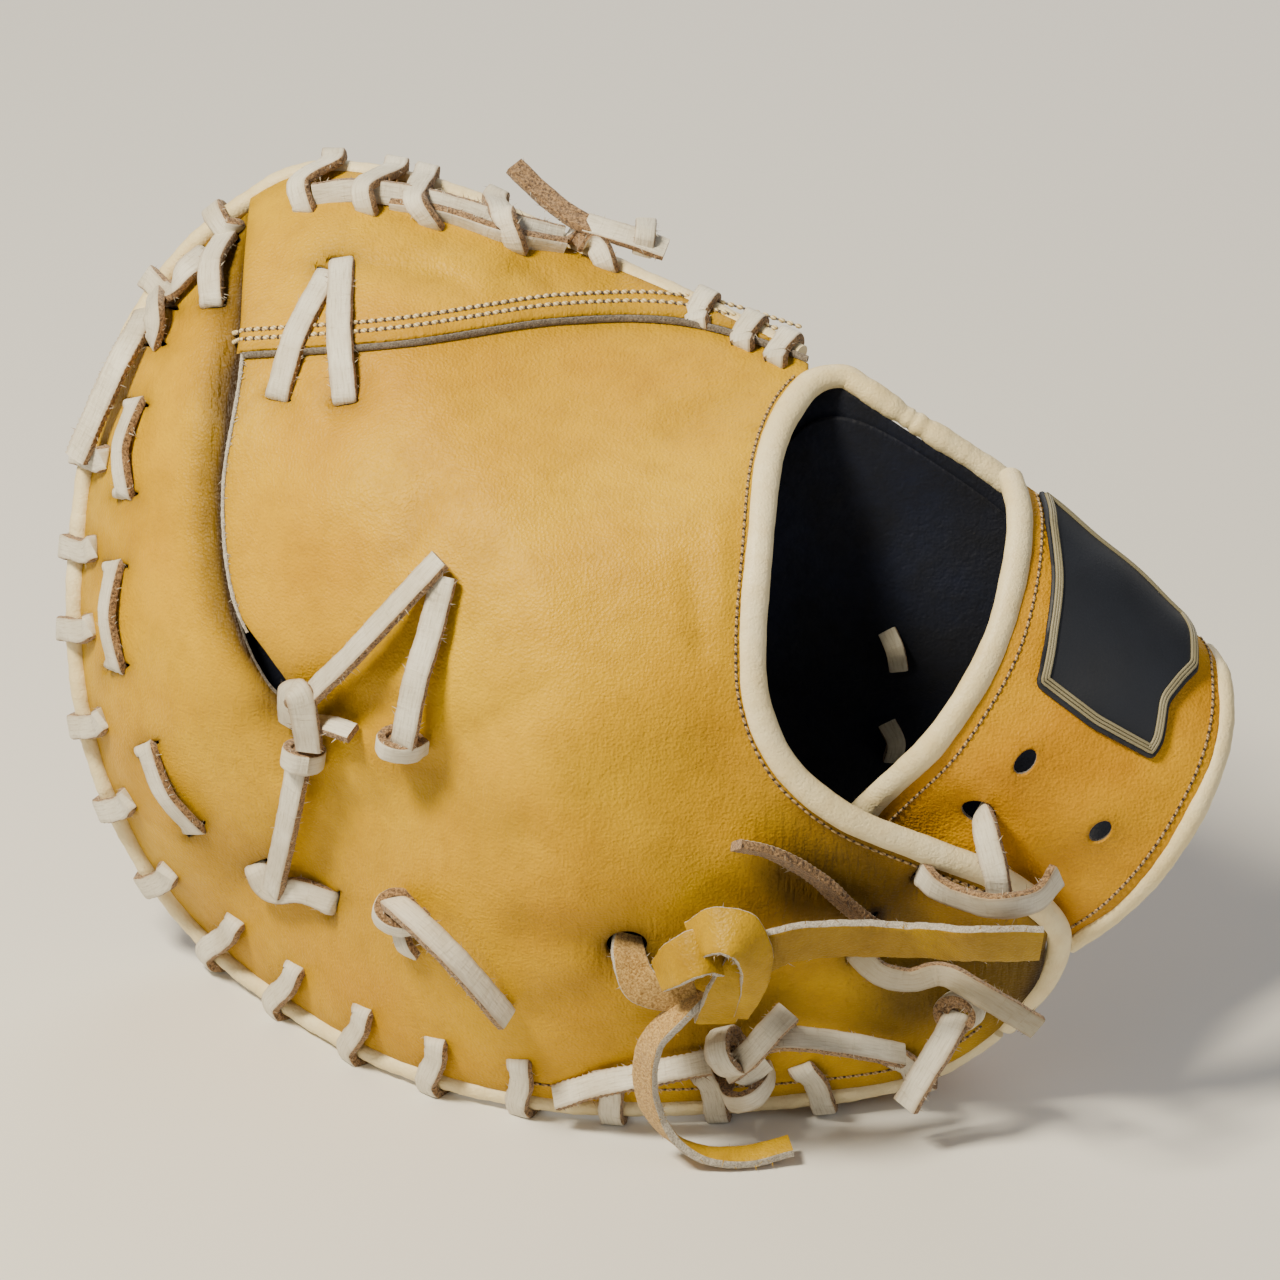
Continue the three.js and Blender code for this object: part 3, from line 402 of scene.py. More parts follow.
# A flat net of triangles cut by closed loops; keep tells which of them belong to the piece
def flatNet(loops, keep, spacing):
    loops = [evenly(loop, spacing * 0.8, closed=True) for loop in loops]
    low = np.min([loop.min(0) for loop in loops[:1]], axis=0)
    high = np.max([loop.max(0) for loop in loops[:1]], axis=0)
    rows = np.arange(low[1], high[1], spacing * 0.866)
    columns = np.arange(low[0], high[0], spacing)
    grid = np.concatenate([np.column_stack([columns + (i % 2) * spacing / 2, np.full(len(columns), y)])
                           for i, y in enumerate(rows)])
    grid = grid[keep(grid)]
    rings = []
    for loop in loops:
        ahead = unit(np.roll(loop, -1, axis=0) - np.roll(loop, 1, axis=0))
        left = np.column_stack([-ahead[:, 1], ahead[:, 0]])
        rings += [loop + left * inset for inset in (-0.95, -0.35, 0.35, 0.95)]
    rings = np.concatenate(rings)
    rings = rings[keep(rings)]
    edges = np.concatenate(loops)
    rings = rings[nearest(rings, edges) > 0.3]
    grid = grid[nearest(grid, edges) > spacing * 0.95]
    inner = np.concatenate([grid, rings])
    links, start = [], 0
    for loop in loops:
        links += [(start + i, start + (i + 1) % len(loop)) for i in range(len(loop))]
        start += len(loop)
    flat = np.concatenate([edges, inner])
    result = delaunay_2d_cdt([tuple(p) for p in flat.tolist()], links, [], 0, 1e-5)
    points = np.array([tuple(p) for p in result[0]])
    triangles = np.array(result[2])
    triangles = triangles[keep(points[triangles].mean(axis=1))]
    used, inverse = np.unique(triangles, return_inverse=True)
    triangles = inverse.reshape(-1, 3)
    points = points[used]
    a, b, c = points[triangles].transpose(1, 0, 2)
    turn = (b[:, 0] - a[:, 0]) * (c[:, 1] - a[:, 1]) - (b[:, 1] - a[:, 1]) * (c[:, 0] - a[:, 0])
    triangles[turn < 0] = triangles[turn < 0][:, ::-1]
    return points, triangles


def nearest(points, targets):
    low = np.full(len(points), np.inf)
    for part in range(0, len(targets), 200):
        block = targets[part:part + 200]
        gaps = (points[:, None, 0] - block[None, :, 0]) ** 2 + (points[:, None, 1] - block[None, :, 1]) ** 2
        low = np.minimum(low, gaps.min(axis=1))
    return np.sqrt(low)


# A leather wall over a flat net: front and back surfaces, and the cut edge between them
def wallOver(net, front, back, roundness=0.7, shadeAt=None, backShadeAt=None):
    flat, triangles = net
    edges = np.concatenate([triangles[:, [0, 1]], triangles[:, [1, 2]], triangles[:, [2, 0]]])
    pairs = set(map(tuple, edges.tolist()))
    rim = [(a, b) for a, b in pairs if (b, a) not in pairs]
    cut = nearest(flat, flat[sorted({a for a, b in rim})])
    count = len(flat)
    sunk = roundness - np.sqrt(np.maximum(roundness**2 - np.clip(roundness - cut, 0, roundness) ** 2, 0))
    points = np.concatenate([front(flat, -sunk), back(flat, sunk)])
    faces = triangles.tolist() + (triangles[:, ::-1] + count).tolist()
    faces += [(a, a + count, b + count, b) for a, b in rim]
    finish = [0] * len(triangles) + [1] * len(triangles) + [2] * len(rim)
    shade = np.zeros(2 * count)
    # Painted shade with some burnish along every cut edge and round each hole, where the rounded edge dips
    shade[:count] = 0.35 * np.exp(-cut / 2.0)
    if shadeAt is not None:
        shade[:count] += shadeAt(flat)
    if backShadeAt is not None:
        shade[count:] += backShadeAt(flat)
    return shapeOf(points, faces, finish, np.concatenate([flat, flat]), shade)


# A strip swept along a line: a flat lace, or a round roll where its corners are round.
# across is the direction of its width at each row, and width may change from row to row.
# Finish 0 is its grain side, 1 its flesh side and 2 its cut edges.
def stripAlong(rows, across, width, thick, corner=8.0, step=0.9, cup=0.0, sides=16, ripple=None, fuzz=0):
    rows = np.asarray(rows, float)
    shares = np.linspace(0, 1, 40 * len(rows))
    path = curveAt(rows, shares)
    length = np.concatenate([[0], np.cumsum(np.linalg.norm(np.diff(path, axis=0), axis=1))])
    spots = np.linspace(0, length[-1], max(int(length[-1] / step), 5) + 1)
    at = np.interp(spots, length, shares)
    path = curveAt(rows, at)
    ahead = unit(np.gradient(path, axis=0))
    side = np.column_stack([np.interp(at * (len(rows) - 1), np.arange(len(rows)), column)
                            for column in np.asarray(across, float).T])
    side = unit(side - ahead * np.sum(side * ahead, axis=1, keepdims=True))
    up = np.cross(side, ahead)
    halfWidth = np.interp(at * (len(rows) - 1), np.arange(len(rows)), np.broadcast_to(width, len(rows))) / 2
    turn = (np.arange(sides) + 0.5) * 2 * np.pi / sides
    wide = np.sign(np.cos(turn)) * np.abs(np.cos(turn)) ** (2 / corner)
    high = np.sign(np.sin(turn)) * np.abs(np.sin(turn)) ** (2 / corner)
    swell = np.ones(len(path)) if ripple is None else ripple(spots)
    sideways = halfWidth[:, None] * swell[:, None] * wide[None, :]
    upwards = thick / 2 * swell[:, None] * high[None, :] - cup * (wide[None, :] ** 2)
    points = (path[:, None, :] + side[:, None, :] * sideways[:, :, None]
              + up[:, None, :] * upwards[:, :, None])
    uv = np.stack([sideways, np.broadcast_to(spots[:, None], sideways.shape)], axis=2)
    faces, finish = [], []
    sines = [math.sin((k + 1) * 2 * math.pi / sides) for k in range(sides)]
    finishes = [0 if sine > 0.6 else 1 if sine < -0.6 else 2 for sine in sines]
    for i in range(len(path) - 1):
        for k in range(sides):
            a, b = i * sides + k, i * sides + (k + 1) % sides
            faces.append((a, a + sides, b + sides, b))
            finish.append(finishes[k])
    last = (len(path) - 1) * sides
    faces += [tuple(range(sides)), tuple(reversed(range(last, last + sides)))]
    finish += [2, 2]
    points, uv = points.reshape(-1, 3), uv.reshape(-1, 2)

    # Loose fibres stand out from the cut edges, so many on each 10 mm
    random = np.random.default_rng(len(path))
    for _ in range(int(spots[-1] / 10 * fuzz)):
        i, edge = random.integers(1, len(path) - 1), random.choice((-1, 1))
        height = random.uniform(-0.45, 0.4) * thick
        root = path[i] + side[i] * edge * (halfWidth[i] * swell[i] - 0.1) + up[i] * height
        way = unit(side[i] * edge * random.uniform(0.2, 1) + up[i] * random.uniform(-1, 0.4)
                   + ahead[i] * random.uniform(-1.2, 1.2))
        tip = root + way * random.uniform(0.7, 2.3) + up[i] * random.uniform(-0.4, 0.1)
        start = len(points)
        points = np.vstack([points, root - ahead[i] * 0.15, root + ahead[i] * 0.15, tip])
        uv = np.vstack([uv, uv[:3]])
        faces.append((start, start + 1, start + 2))
        finish.append(0 if start % 2 else 2)  # some have kept the pale grain side's colour
    return shapeOf(points, faces, finish, uv)


# Slow and quick changes of girth along a roll or a hand-cut strip
def pinches(every, depth, seed, folds=()):
    random = np.random.default_rng(seed)
    phases = random.uniform(0, 6, 3)

    def ripple(spots):
        sharp = sum((deep * np.exp(-((spots - at) / wide) ** 2) for at, wide, deep in folds), 0 * spots)
        return (1 + depth * np.sin(spots * 2 * np.pi / every + phases[0])
                + depth * 0.5 * np.sin(spots * 2 * np.pi / (every * 0.37) + phases[1])
                + depth * 0.25 * np.sin(spots * 2 * np.pi / (every * 0.17) + phases[2]) - sharp)
    return ripple


# Stitches: one small ball, drawn out, is copied along a row
def ballMesh():
    bpy.ops.mesh.primitive_uv_sphere_add(segments=8, ring_count=5, radius=1)
    ball = bpy.context.object
    points = np.array([tuple(v.co) for v in ball.data.vertices])
    faces = [tuple(p.vertices) for p in ball.data.polygons]
    bpy.data.objects.remove(ball, do_unlink=True)
    return points, faces


ballPoints, ballFaces = ballMesh()


def stitchesAlong(line, normals, pitch=2.35, length=2.0, thread=0.5):
    spots = np.concatenate([[0], np.cumsum(np.linalg.norm(np.diff(line, axis=0), axis=1))])
    places = np.arange(pitch / 2, spots[-1], pitch / 2)
    points = np.column_stack([np.interp(places, spots, column) for column in line.T])
    off = unit(np.column_stack([np.interp(places, spots, column) for column in normals.T]))
    slopes = np.gradient(line, axis=0)
    ahead = unit(np.column_stack([np.interp(places, spots, column) for column in slopes.T]))
    side = np.cross(off, ahead)
    ahead = unit(ahead + side * 0.12)
    shapes = []
    for i, (point, along, beside, up) in enumerate(zip(points, ahead, np.cross(off, ahead), off)):
        x, y, z = ballPoints.T
        # every other ball is a dark sunk dot: painted shade of a needle hole
        if i % 2:  # a needle hole between two stitches
            placed = point + np.outer(x, along) * 0.5 + np.outer(y, beside) * thread * 1.15
            placed = placed + np.outer(z, up) * 0.16 - up * 0.05
        else:
            placed = point + np.outer(x, along) * length / 2 + np.outer(y, beside) * thread
            placed = placed + np.outer(z, up) * thread
        shapes.append(shapeOf(placed, ballFaces, [i % 2] * len(ballFaces), np.column_stack([y, x])))
    return shapes


print("helpers ready")


# Materials

def hexColour(code):
    values = [int(code[i:i + 2], 16) / 255 for i in (1, 3, 5)]
    return [v / 12.92 if v <= 0.04045 else ((v + 0.055) / 1.055) ** 2.4 for v in values] + [1]


# Adds one node with its settings and links
def addNode(tree, kind, settings=None, links=None):
    node = tree.nodes.new("ShaderNode" + kind)
    for key, value in (settings or {}).items():
        if key in node.inputs:
            node.inputs[key].default_value = value
        else:
            setattr(node, key, value)
    for key, source in (links or {}).items():
        tree.links.new(source, node.inputs[key])
    return node.outputs


def newMaterial(name, settings):
    material = bpy.data.materials.new(name)
    material.use_nodes = True
    tree = material.node_tree
    shader = tree.nodes["Principled BSDF"]
    for key, value in settings.items():
        shader.inputs[key].default_value = value
    return material, tree, shader


def perMm(size):
    return 1000 / size


# Joins what the nodes have made to the shader
def connect(tree, shader, colour, bump, dull=None):
    tree.links.new(colour, shader.inputs["Base Color"])
    tree.links.new(bump, shader.inputs["Normal"])
    if dull:
        tree.links.new(dull, shader.inputs["Roughness"])


# Smooth or grained leather: colour drifts over palm-sized patches, pores and fine creases in the bump, and
# the wear-and-shade attribute darkens it with painted shade in folds and at cut edges, with some real wear
# and burnish.
# A leather that says nothing else is like this.
leather = {"burnishAndShade": "#2e1c02", "grainMm": 0.85, "gloss": 0.42, "shine": 0.36, "sheen": 0.0, "coat": 0.0}


def leatherMaterial(name, look):
    look = leather | look
    material, tree, shader = newMaterial(name, {
        "IOR": 1.4, "Specular IOR Level": look["shine"], "Sheen Weight": look["sheen"],
        "Coat Weight": look["coat"], "Coat Roughness": 0.35})
    place = addNode(tree, "TexCoord")["Object"]
    drift = addNode(tree, "TexNoise", {"Scale": perMm(look["driftMm"]), "Detail": 3, "Roughness": 0.55},
                    {"Vector": place})["Fac"]
    fine = addNode(tree, "TexNoise", {"Scale": perMm(look["mottleMm"]), "Detail": 5, "Roughness": 0.65},
                   {"Vector": place})["Fac"]
    patches = addNode(tree, "MapRange", {"From Min": 0.34, "From Max": 0.66}, {"Value": drift})["Result"]
    colour = addNode(tree, "MixRGB", {"Color1": hexColour(look["base"]), "Color2": hexColour(look["light"])},
                     {"Fac": patches})["Color"]
    mottle = addNode(tree, "MapRange", {"From Min": 0.42, "From Max": 0.75, "To Max": look["mottle"]},
                     {"Value": fine})["Result"]
    wear = addNode(tree, "Attribute", {"attribute_name": "wear"})["Fac"]
    # the second mix is painted shade, with some wear, where the wear-and-shade attribute says
    for tint, share in (("dark", mottle), ("burnishAndShade", wear)):
        colour = addNode(tree, "MixRGB", {"Color2": hexColour(look[tint])},
                         {"Fac": share, "Color1": colour})["Color"]
    pores = addNode(tree, "TexVoronoi", {"Scale": perMm(look["grainMm"]), "Randomness": 0.9},
                    {"Vector": place})["Distance"]
    bent = addNode(tree, "TexNoise", {"Scale": perMm(look["creaseMm"] * 1.5), "Detail": 2},
                   {"Vector": place})["Color"]
    warped = addNode(tree, "MixRGB", {"Fac": 0.006}, {"Color1": place, "Color2": bent})["Color"]
    wrinkles = addNode(tree, "TexVoronoi", {"Scale": perMm(look["creaseMm"]), "feature": "DISTANCE_TO_EDGE"},
                       {"Vector": warped})["Distance"]
    wrinkles = addNode(tree, "MapRange", {"From Max": 0.12}, {"Value": wrinkles})["Result"]
    drawn = addNode(tree, "Mapping",
                    {"Scale": (perMm(1.6), perMm(9), perMm(9)), "Rotation": (0.3, 0.2, 0.9)},
                    {"Vector": place})["Vector"]
    folds = addNode(tree, "TexNoise", {"Scale": 1, "Detail": 3, "Roughness": 0.5}, {"Vector": drawn})["Fac"]
    folds = addNode(tree, "Math", {"operation": "MULTIPLY"}, {0: folds, 1: wear})["Value"]
    bump = addNode(tree, "Bump", {"Strength": look["poreBump"], "Distance": 0.0004},
                   {"Height": pores})["Normal"]
    for height, strength, distance in ((wrinkles, look["creaseBump"], 0.0006),
                                       (fine, look["softBump"], 0.0012), (folds, 0.8, 0.002)):
        bump = addNode(tree, "Bump", {"Strength": strength, "Distance": distance},
                       {"Height": height, "Normal": bump})["Normal"]
    dull = addNode(tree, "MapRange", {"To Min": look["gloss"], "To Max": look["gloss"] + 0.2},
                   {"Value": fine})["Result"]
    connect(tree, shader, colour, bump, dull)
    return material


# Full-grain cowhide, dyed tan and oiled: warm depth, soft highlights, fine pores
tanCowhide = leatherMaterial("tan_full_grain_cowhide", {
    "base": "#c29000", "light": "#d8ac00", "dark": "#8a5e00", "driftMm": 70, "mottleMm": 9, "mottle": 0.32,
    "creaseMm": 2.4, "poreBump": 0.5, "creaseBump": 0.16, "softBump": 0.2,
})
# The strap and the palm are from a redder part of the hide
strapCowhide = leatherMaterial("tan_strap_cowhide", {
    "base": "#c48a00", "light": "#d8a200", "dark": "#946000", "driftMm": 45, "mottleMm": 7, "mottle": 0.32,
    "creaseMm": 2.2, "poreBump": 0.45, "creaseBump": 0.13, "softBump": 0.15,
})
# The thong: a darker, greener tan with a soft shine; the darkness is painted shade, as the thong lies in
# shade
thongCowhide = leatherMaterial("thong_cowhide_painted_shade", {
    "base": "#a47c00", "light": "#ba9406", "dark": "#6e4e00", "driftMm": 30, "mottleMm": 6, "mottle": 0.4,
    "creaseMm": 2.2, "poreBump": 0.4, "creaseBump": 0.16, "softBump": 0.25, "gloss": 0.38, "shine": 0.4,
})
# Thin cream leather round the edges: smooth, a little glossy, cross wrinkles at bends
creamBinding = leatherMaterial("cream_rolled_leather", {
    "base": "#e2d0a0", "light": "#ecdfb8", "dark": "#c4a468", "burnishAndShade": "#8a6236",
    "driftMm": 30, "mottleMm": 5, "mottle": 0.3, "grainMm": 0.8, "creaseMm": 2.4,
    "poreBump": 0.25, "creaseBump": 0.14, "softBump": 0.3, "gloss": 0.38, "shine": 0.5, "coat": 0.05,
})
# Napped lining leather in dark navy: dull, with a light nap that catches the rim light
navyLining = leatherMaterial("navy_lining_leather", {
    "base": "#040918", "light": "#08122a", "dark": "#01040c", "burnishAndShade": "#020308",
    "driftMm": 25, "mottleMm": 4, "mottle": 0.5, "grainMm": 0.9, "creaseMm": 4,
    "poreBump": 0.3, "creaseBump": 0.1, "softBump": 0.3, "gloss": 0.6, "shine": 0.35, "sheen": 0.1,
})


# Split suede, the fuzzy flesh side and edge of a lace: dull brown with loose fibres
def suedeMaterial(name, look):
    material, tree, shader = newMaterial(name, {"Roughness": 0.95, "IOR": 1.4, "Sheen Weight": 0.25,
                                                "Sheen Roughness": 0.6})
    place = addNode(tree, "TexCoord")["Object"]
    fibre = addNode(tree, "TexNoise", {"Scale": perMm(look["fibreMm"]), "Detail": 6, "Roughness": 0.75},
                    {"Vector": place})["Fac"]
    tufts = addNode(tree, "TexNoise", {"Scale": perMm(look["tuftMm"]), "Detail": 3},
                    {"Vector": place})["Fac"]
    contrast = addNode(tree, "MapRange", {"From Min": 0.4, "From Max": 0.6}, {"Value": fibre})["Result"]
    colour = addNode(tree, "MixRGB", {"Color1": hexColour(look["dark"]), "Color2": hexColour(look["light"])},
                     {"Fac": contrast})["Color"]
    bump = addNode(tree, "Bump", {"Strength": 0.8, "Distance": 0.0005}, {"Height": fibre})["Normal"]
    bump = addNode(tree, "Bump", {"Strength": 0.6, "Distance": 0.0008},
                   {"Height": tufts, "Normal": bump})["Normal"]
    connect(tree, shader, colour, bump)
    return material


laceSuede = suedeMaterial("lace_split_suede",
                          {"dark": "#412711", "light": "#b08c60", "fibreMm": 0.7, "tuftMm": 1.8})
thongSuede = suedeMaterial("thong_split_suede",
                           {"dark": "#8a6224", "light": "#d0ac66", "fibreMm": 0.6, "tuftMm": 2})
# Cut edge of the shell leather, undyed inside: grey-brown and fibrous
rawEdge = suedeMaterial("raw_cut_leather_edge",
                        {"dark": "#4a423a", "light": "#8a8074", "fibreMm": 0.5, "tuftMm": 1.5})
paleEdge = suedeMaterial("pale_cut_leather_edge",
                         {"dark": "#8d8478", "light": "#cfc8ba", "fibreMm": 0.5, "tuftMm": 1.5})


# Alum-tanned rawhide lace: off-white, matt, with fibres and cracks along it that follow the strip's own map
def laceMaterial():
    material, tree, shader = newMaterial("rawhide_lace_grain", {"IOR": 1.45, "Sheen Weight": 0.05})
    strip = addNode(tree, "UVMap", {"uv_map": "strip"})["UV"]
    place = addNode(tree, "TexCoord")["Object"]
    stretched = addNode(tree, "Mapping", {"Scale": (perMm(0.5), perMm(6), 1)}, {"Vector": strip})["Vector"]
    fibres = addNode(tree, "TexNoise", {"Scale": 1, "Detail": 5, "Roughness": 0.6},
                     {"Vector": stretched})["Fac"]
    crossed = addNode(tree, "Mapping", {"Scale": (perMm(9), perMm(1.1), 1)}, {"Vector": strip})["Vector"]
    cracks = addNode(tree, "TexNoise", {"Scale": 1, "Detail": 4, "Roughness": 0.7},
                     {"Vector": crossed})["Fac"]
    blotch = addNode(tree, "TexNoise", {"Scale": perMm(12), "Detail": 3}, {"Vector": place})["Fac"]
    tone = addNode(tree, "MapRange", {"From Min": 0.35, "From Max": 0.7}, {"Value": blotch})["Result"]
    colour = addNode(tree, "MixRGB", {"Color1": hexColour("#dfdbcd"), "Color2": hexColour("#c6bfac")},
                     {"Fac": tone})["Color"]
    lines = addNode(tree, "MapRange", {"From Min": 0.48, "From Max": 0.72, "To Max": 0.5},
                    {"Value": fibres})["Result"]
    splits = addNode(tree, "MapRange", {"From Min": 0.6, "From Max": 0.7, "To Max": 0.45},
                     {"Value": cracks})["Result"]
    beside = addNode(tree, "SeparateXYZ", None, {"Vector": strip})["X"]
    beside = addNode(tree, "Math", {"operation": "ABSOLUTE"}, {0: beside})["Value"]
    soiled = addNode(tree, "MapRange", {"From Min": 0.0022, "From Max": 0.0036, "To Max": 0.6},
                     {"Value": beside})["Result"]
    # fibre lines, cracks and soiled edges tint the lace, and the wear-and-shade attribute greys shaded
    # strands with painted shade
    wear = addNode(tree, "Attribute", {"attribute_name": "wear"})["Fac"]
    for tint, share in (("#93856c", lines), ("#8a7a5e", splits), ("#8d6f48", soiled), ("#7c6c4a", wear)):
        colour = addNode(tree, "MixRGB", {"Color2": hexColour(tint)},
                         {"Fac": share, "Color1": colour})["Color"]
    bump = addNode(tree, "Bump", {"Strength": 0.7, "Distance": 0.0004}, {"Height": fibres})["Normal"]
    bump = addNode(tree, "Bump", {"Strength": 0.7, "Distance": 0.0005},
                   {"Height": cracks, "Normal": bump})["Normal"]
    dull = addNode(tree, "MapRange", {"To Min": 0.42, "To Max": 0.68}, {"Value": cracks})["Result"]
    connect(tree, shader, colour, bump, dull)
    return material


rawhideLace = laceMaterial()


# Waxed sewing thread: two plies twisted round each other, a soft shine
def threadMaterial(name, dark, light):
    material, tree, shader = newMaterial(name, {"Roughness": 0.5, "IOR": 1.5, "Sheen Weight": 0.2})
    place = addNode(tree, "TexCoord")["Object"]
    twist = addNode(tree, "TexWave", {"Scale": perMm(2.2), "Distortion": 1.5, "bands_direction": "DIAGONAL"},
                    {"Vector": place})["Fac"]
    colour = addNode(tree, "MixRGB", {"Color1": hexColour(dark), "Color2": hexColour(light)},
                     {"Fac": twist})["Color"]
    bump = addNode(tree, "Bump", {"Strength": 0.5, "Distance": 0.0002}, {"Height": twist})["Normal"]
    connect(tree, shader, colour, bump)
    return material


creamThread = threadMaterial("cream_waxed_thread", "#b59a62", "#f0dfae")
brownThread = threadMaterial("tan_waxed_thread", "#7d6036", "#c4a670")
# Dark dull balls between the stitches: painted shade of the needle holes
needleHoleShade = suedeMaterial("needle_hole_painted_shade",
                           {"dark": "#241506", "light": "#3c2610", "fibreMm": 0.5, "tuftMm": 1.5})


# Moulded rubber: satin, with the fine pebble of its mould
def rubberMaterial(name, dark, light, roughness):
    material, tree, shader = newMaterial(name, {"IOR": 1.52})
    place = addNode(tree, "TexCoord")["Object"]
    pebble = addNode(tree, "TexVoronoi", {"Scale": perMm(0.7)}, {"Vector": place})["Distance"]
    dust = addNode(tree, "TexNoise", {"Scale": perMm(14), "Detail": 4}, {"Vector": place})["Fac"]
    colour = addNode(tree, "MixRGB", {"Color1": hexColour(dark), "Color2": hexColour(light)},
                     {"Fac": dust})["Color"]
    bump = addNode(tree, "Bump", {"Strength": 0.35, "Distance": 0.0001}, {"Height": pebble})["Normal"]
    dull = addNode(tree, "MapRange", {"To Min": roughness, "To Max": roughness + 0.2},
                   {"Value": dust})["Result"]
    connect(tree, shader, colour, bump, dull)
    return material


navyRubber = rubberMaterial("navy_moulded_rubber", "#070b15", "#0f1726", 0.5)
greyRubber = rubberMaterial("grey_moulded_rubber", "#6f6850", "#9a9274", 0.35)
print("materials ready")


# The camera looks square at the leaning back, from far off
view = {"distance": 4500, "width": 334.2, "sensor": 36}


def addCamera():
    bpy.ops.object.camera_add()
    camera = bpy.context.object
    lean = math.radians(stand["lean"])
    aim = np.array([stand["x"], stand["y"], stand["z"]]) / 1000
    camera.location = aim + np.array([0, -math.sin(lean), math.cos(lean)]) * view["distance"] / 1000
    camera.rotation_euler = (lean, 0, 0)
    camera.data.sensor_width = view["sensor"]
    camera.data.lens = view["sensor"] * view["distance"] / view["width"]
    camera.data.clip_end = 20
    bpy.context.scene.camera = camera


addCamera()

# Laces. A row is x, y, lift above the leather; with a fourth value, z, it stands clear of the leather at
# that depth. dive says which ends go down through a slit in the leather, face and flip turn the grain side,
# rough frays the edges, and the worn-and-shaded value darkens the strand with painted shade where it lies in
# shade.
lace = {
    "width": 6.8, "thick": 2.5, "fuzz": 14, "slit": (6.8, 1.5), "slitAhead": 0.9,
    # how far on and how deep an end goes into its slit, and its width there
    "dive": (1.1, 3.4), "narrows": 0.9,
    # The bindings' radii, and how far the edge binding stands out where the leather is steep
    "bindingEdge": 2.4, "bindingOpening": 3.3, "bindingStrap": 2.6, "bindingRim": 2.9, "bindingShift": 4.4,
}
loops = [
    {"angles": [58, 64, 72], "lift": 0.8, "back": 3, "palm": 5.5},
    {"angles": [84, 98, 107, 113], "lift": 5.6, "back": 11, "palm": 5.5},
    {"angles": [121], "lift": 3.1, "back": 9, "palm": 5.5},
    {"angles": [130, 139, 158, 168, 177, 188, 198, 208], "lift": 1.6, "back": 3, "palm": 5.5},
    {"angles": [218, 228, 239, 250, 262, 274], "lift": 1.8, "back": 8, "palm": 5.5},
    {"angles": [287, 299, 309], "lift": 1.8, "back": 8, "palm": 1.2},
]
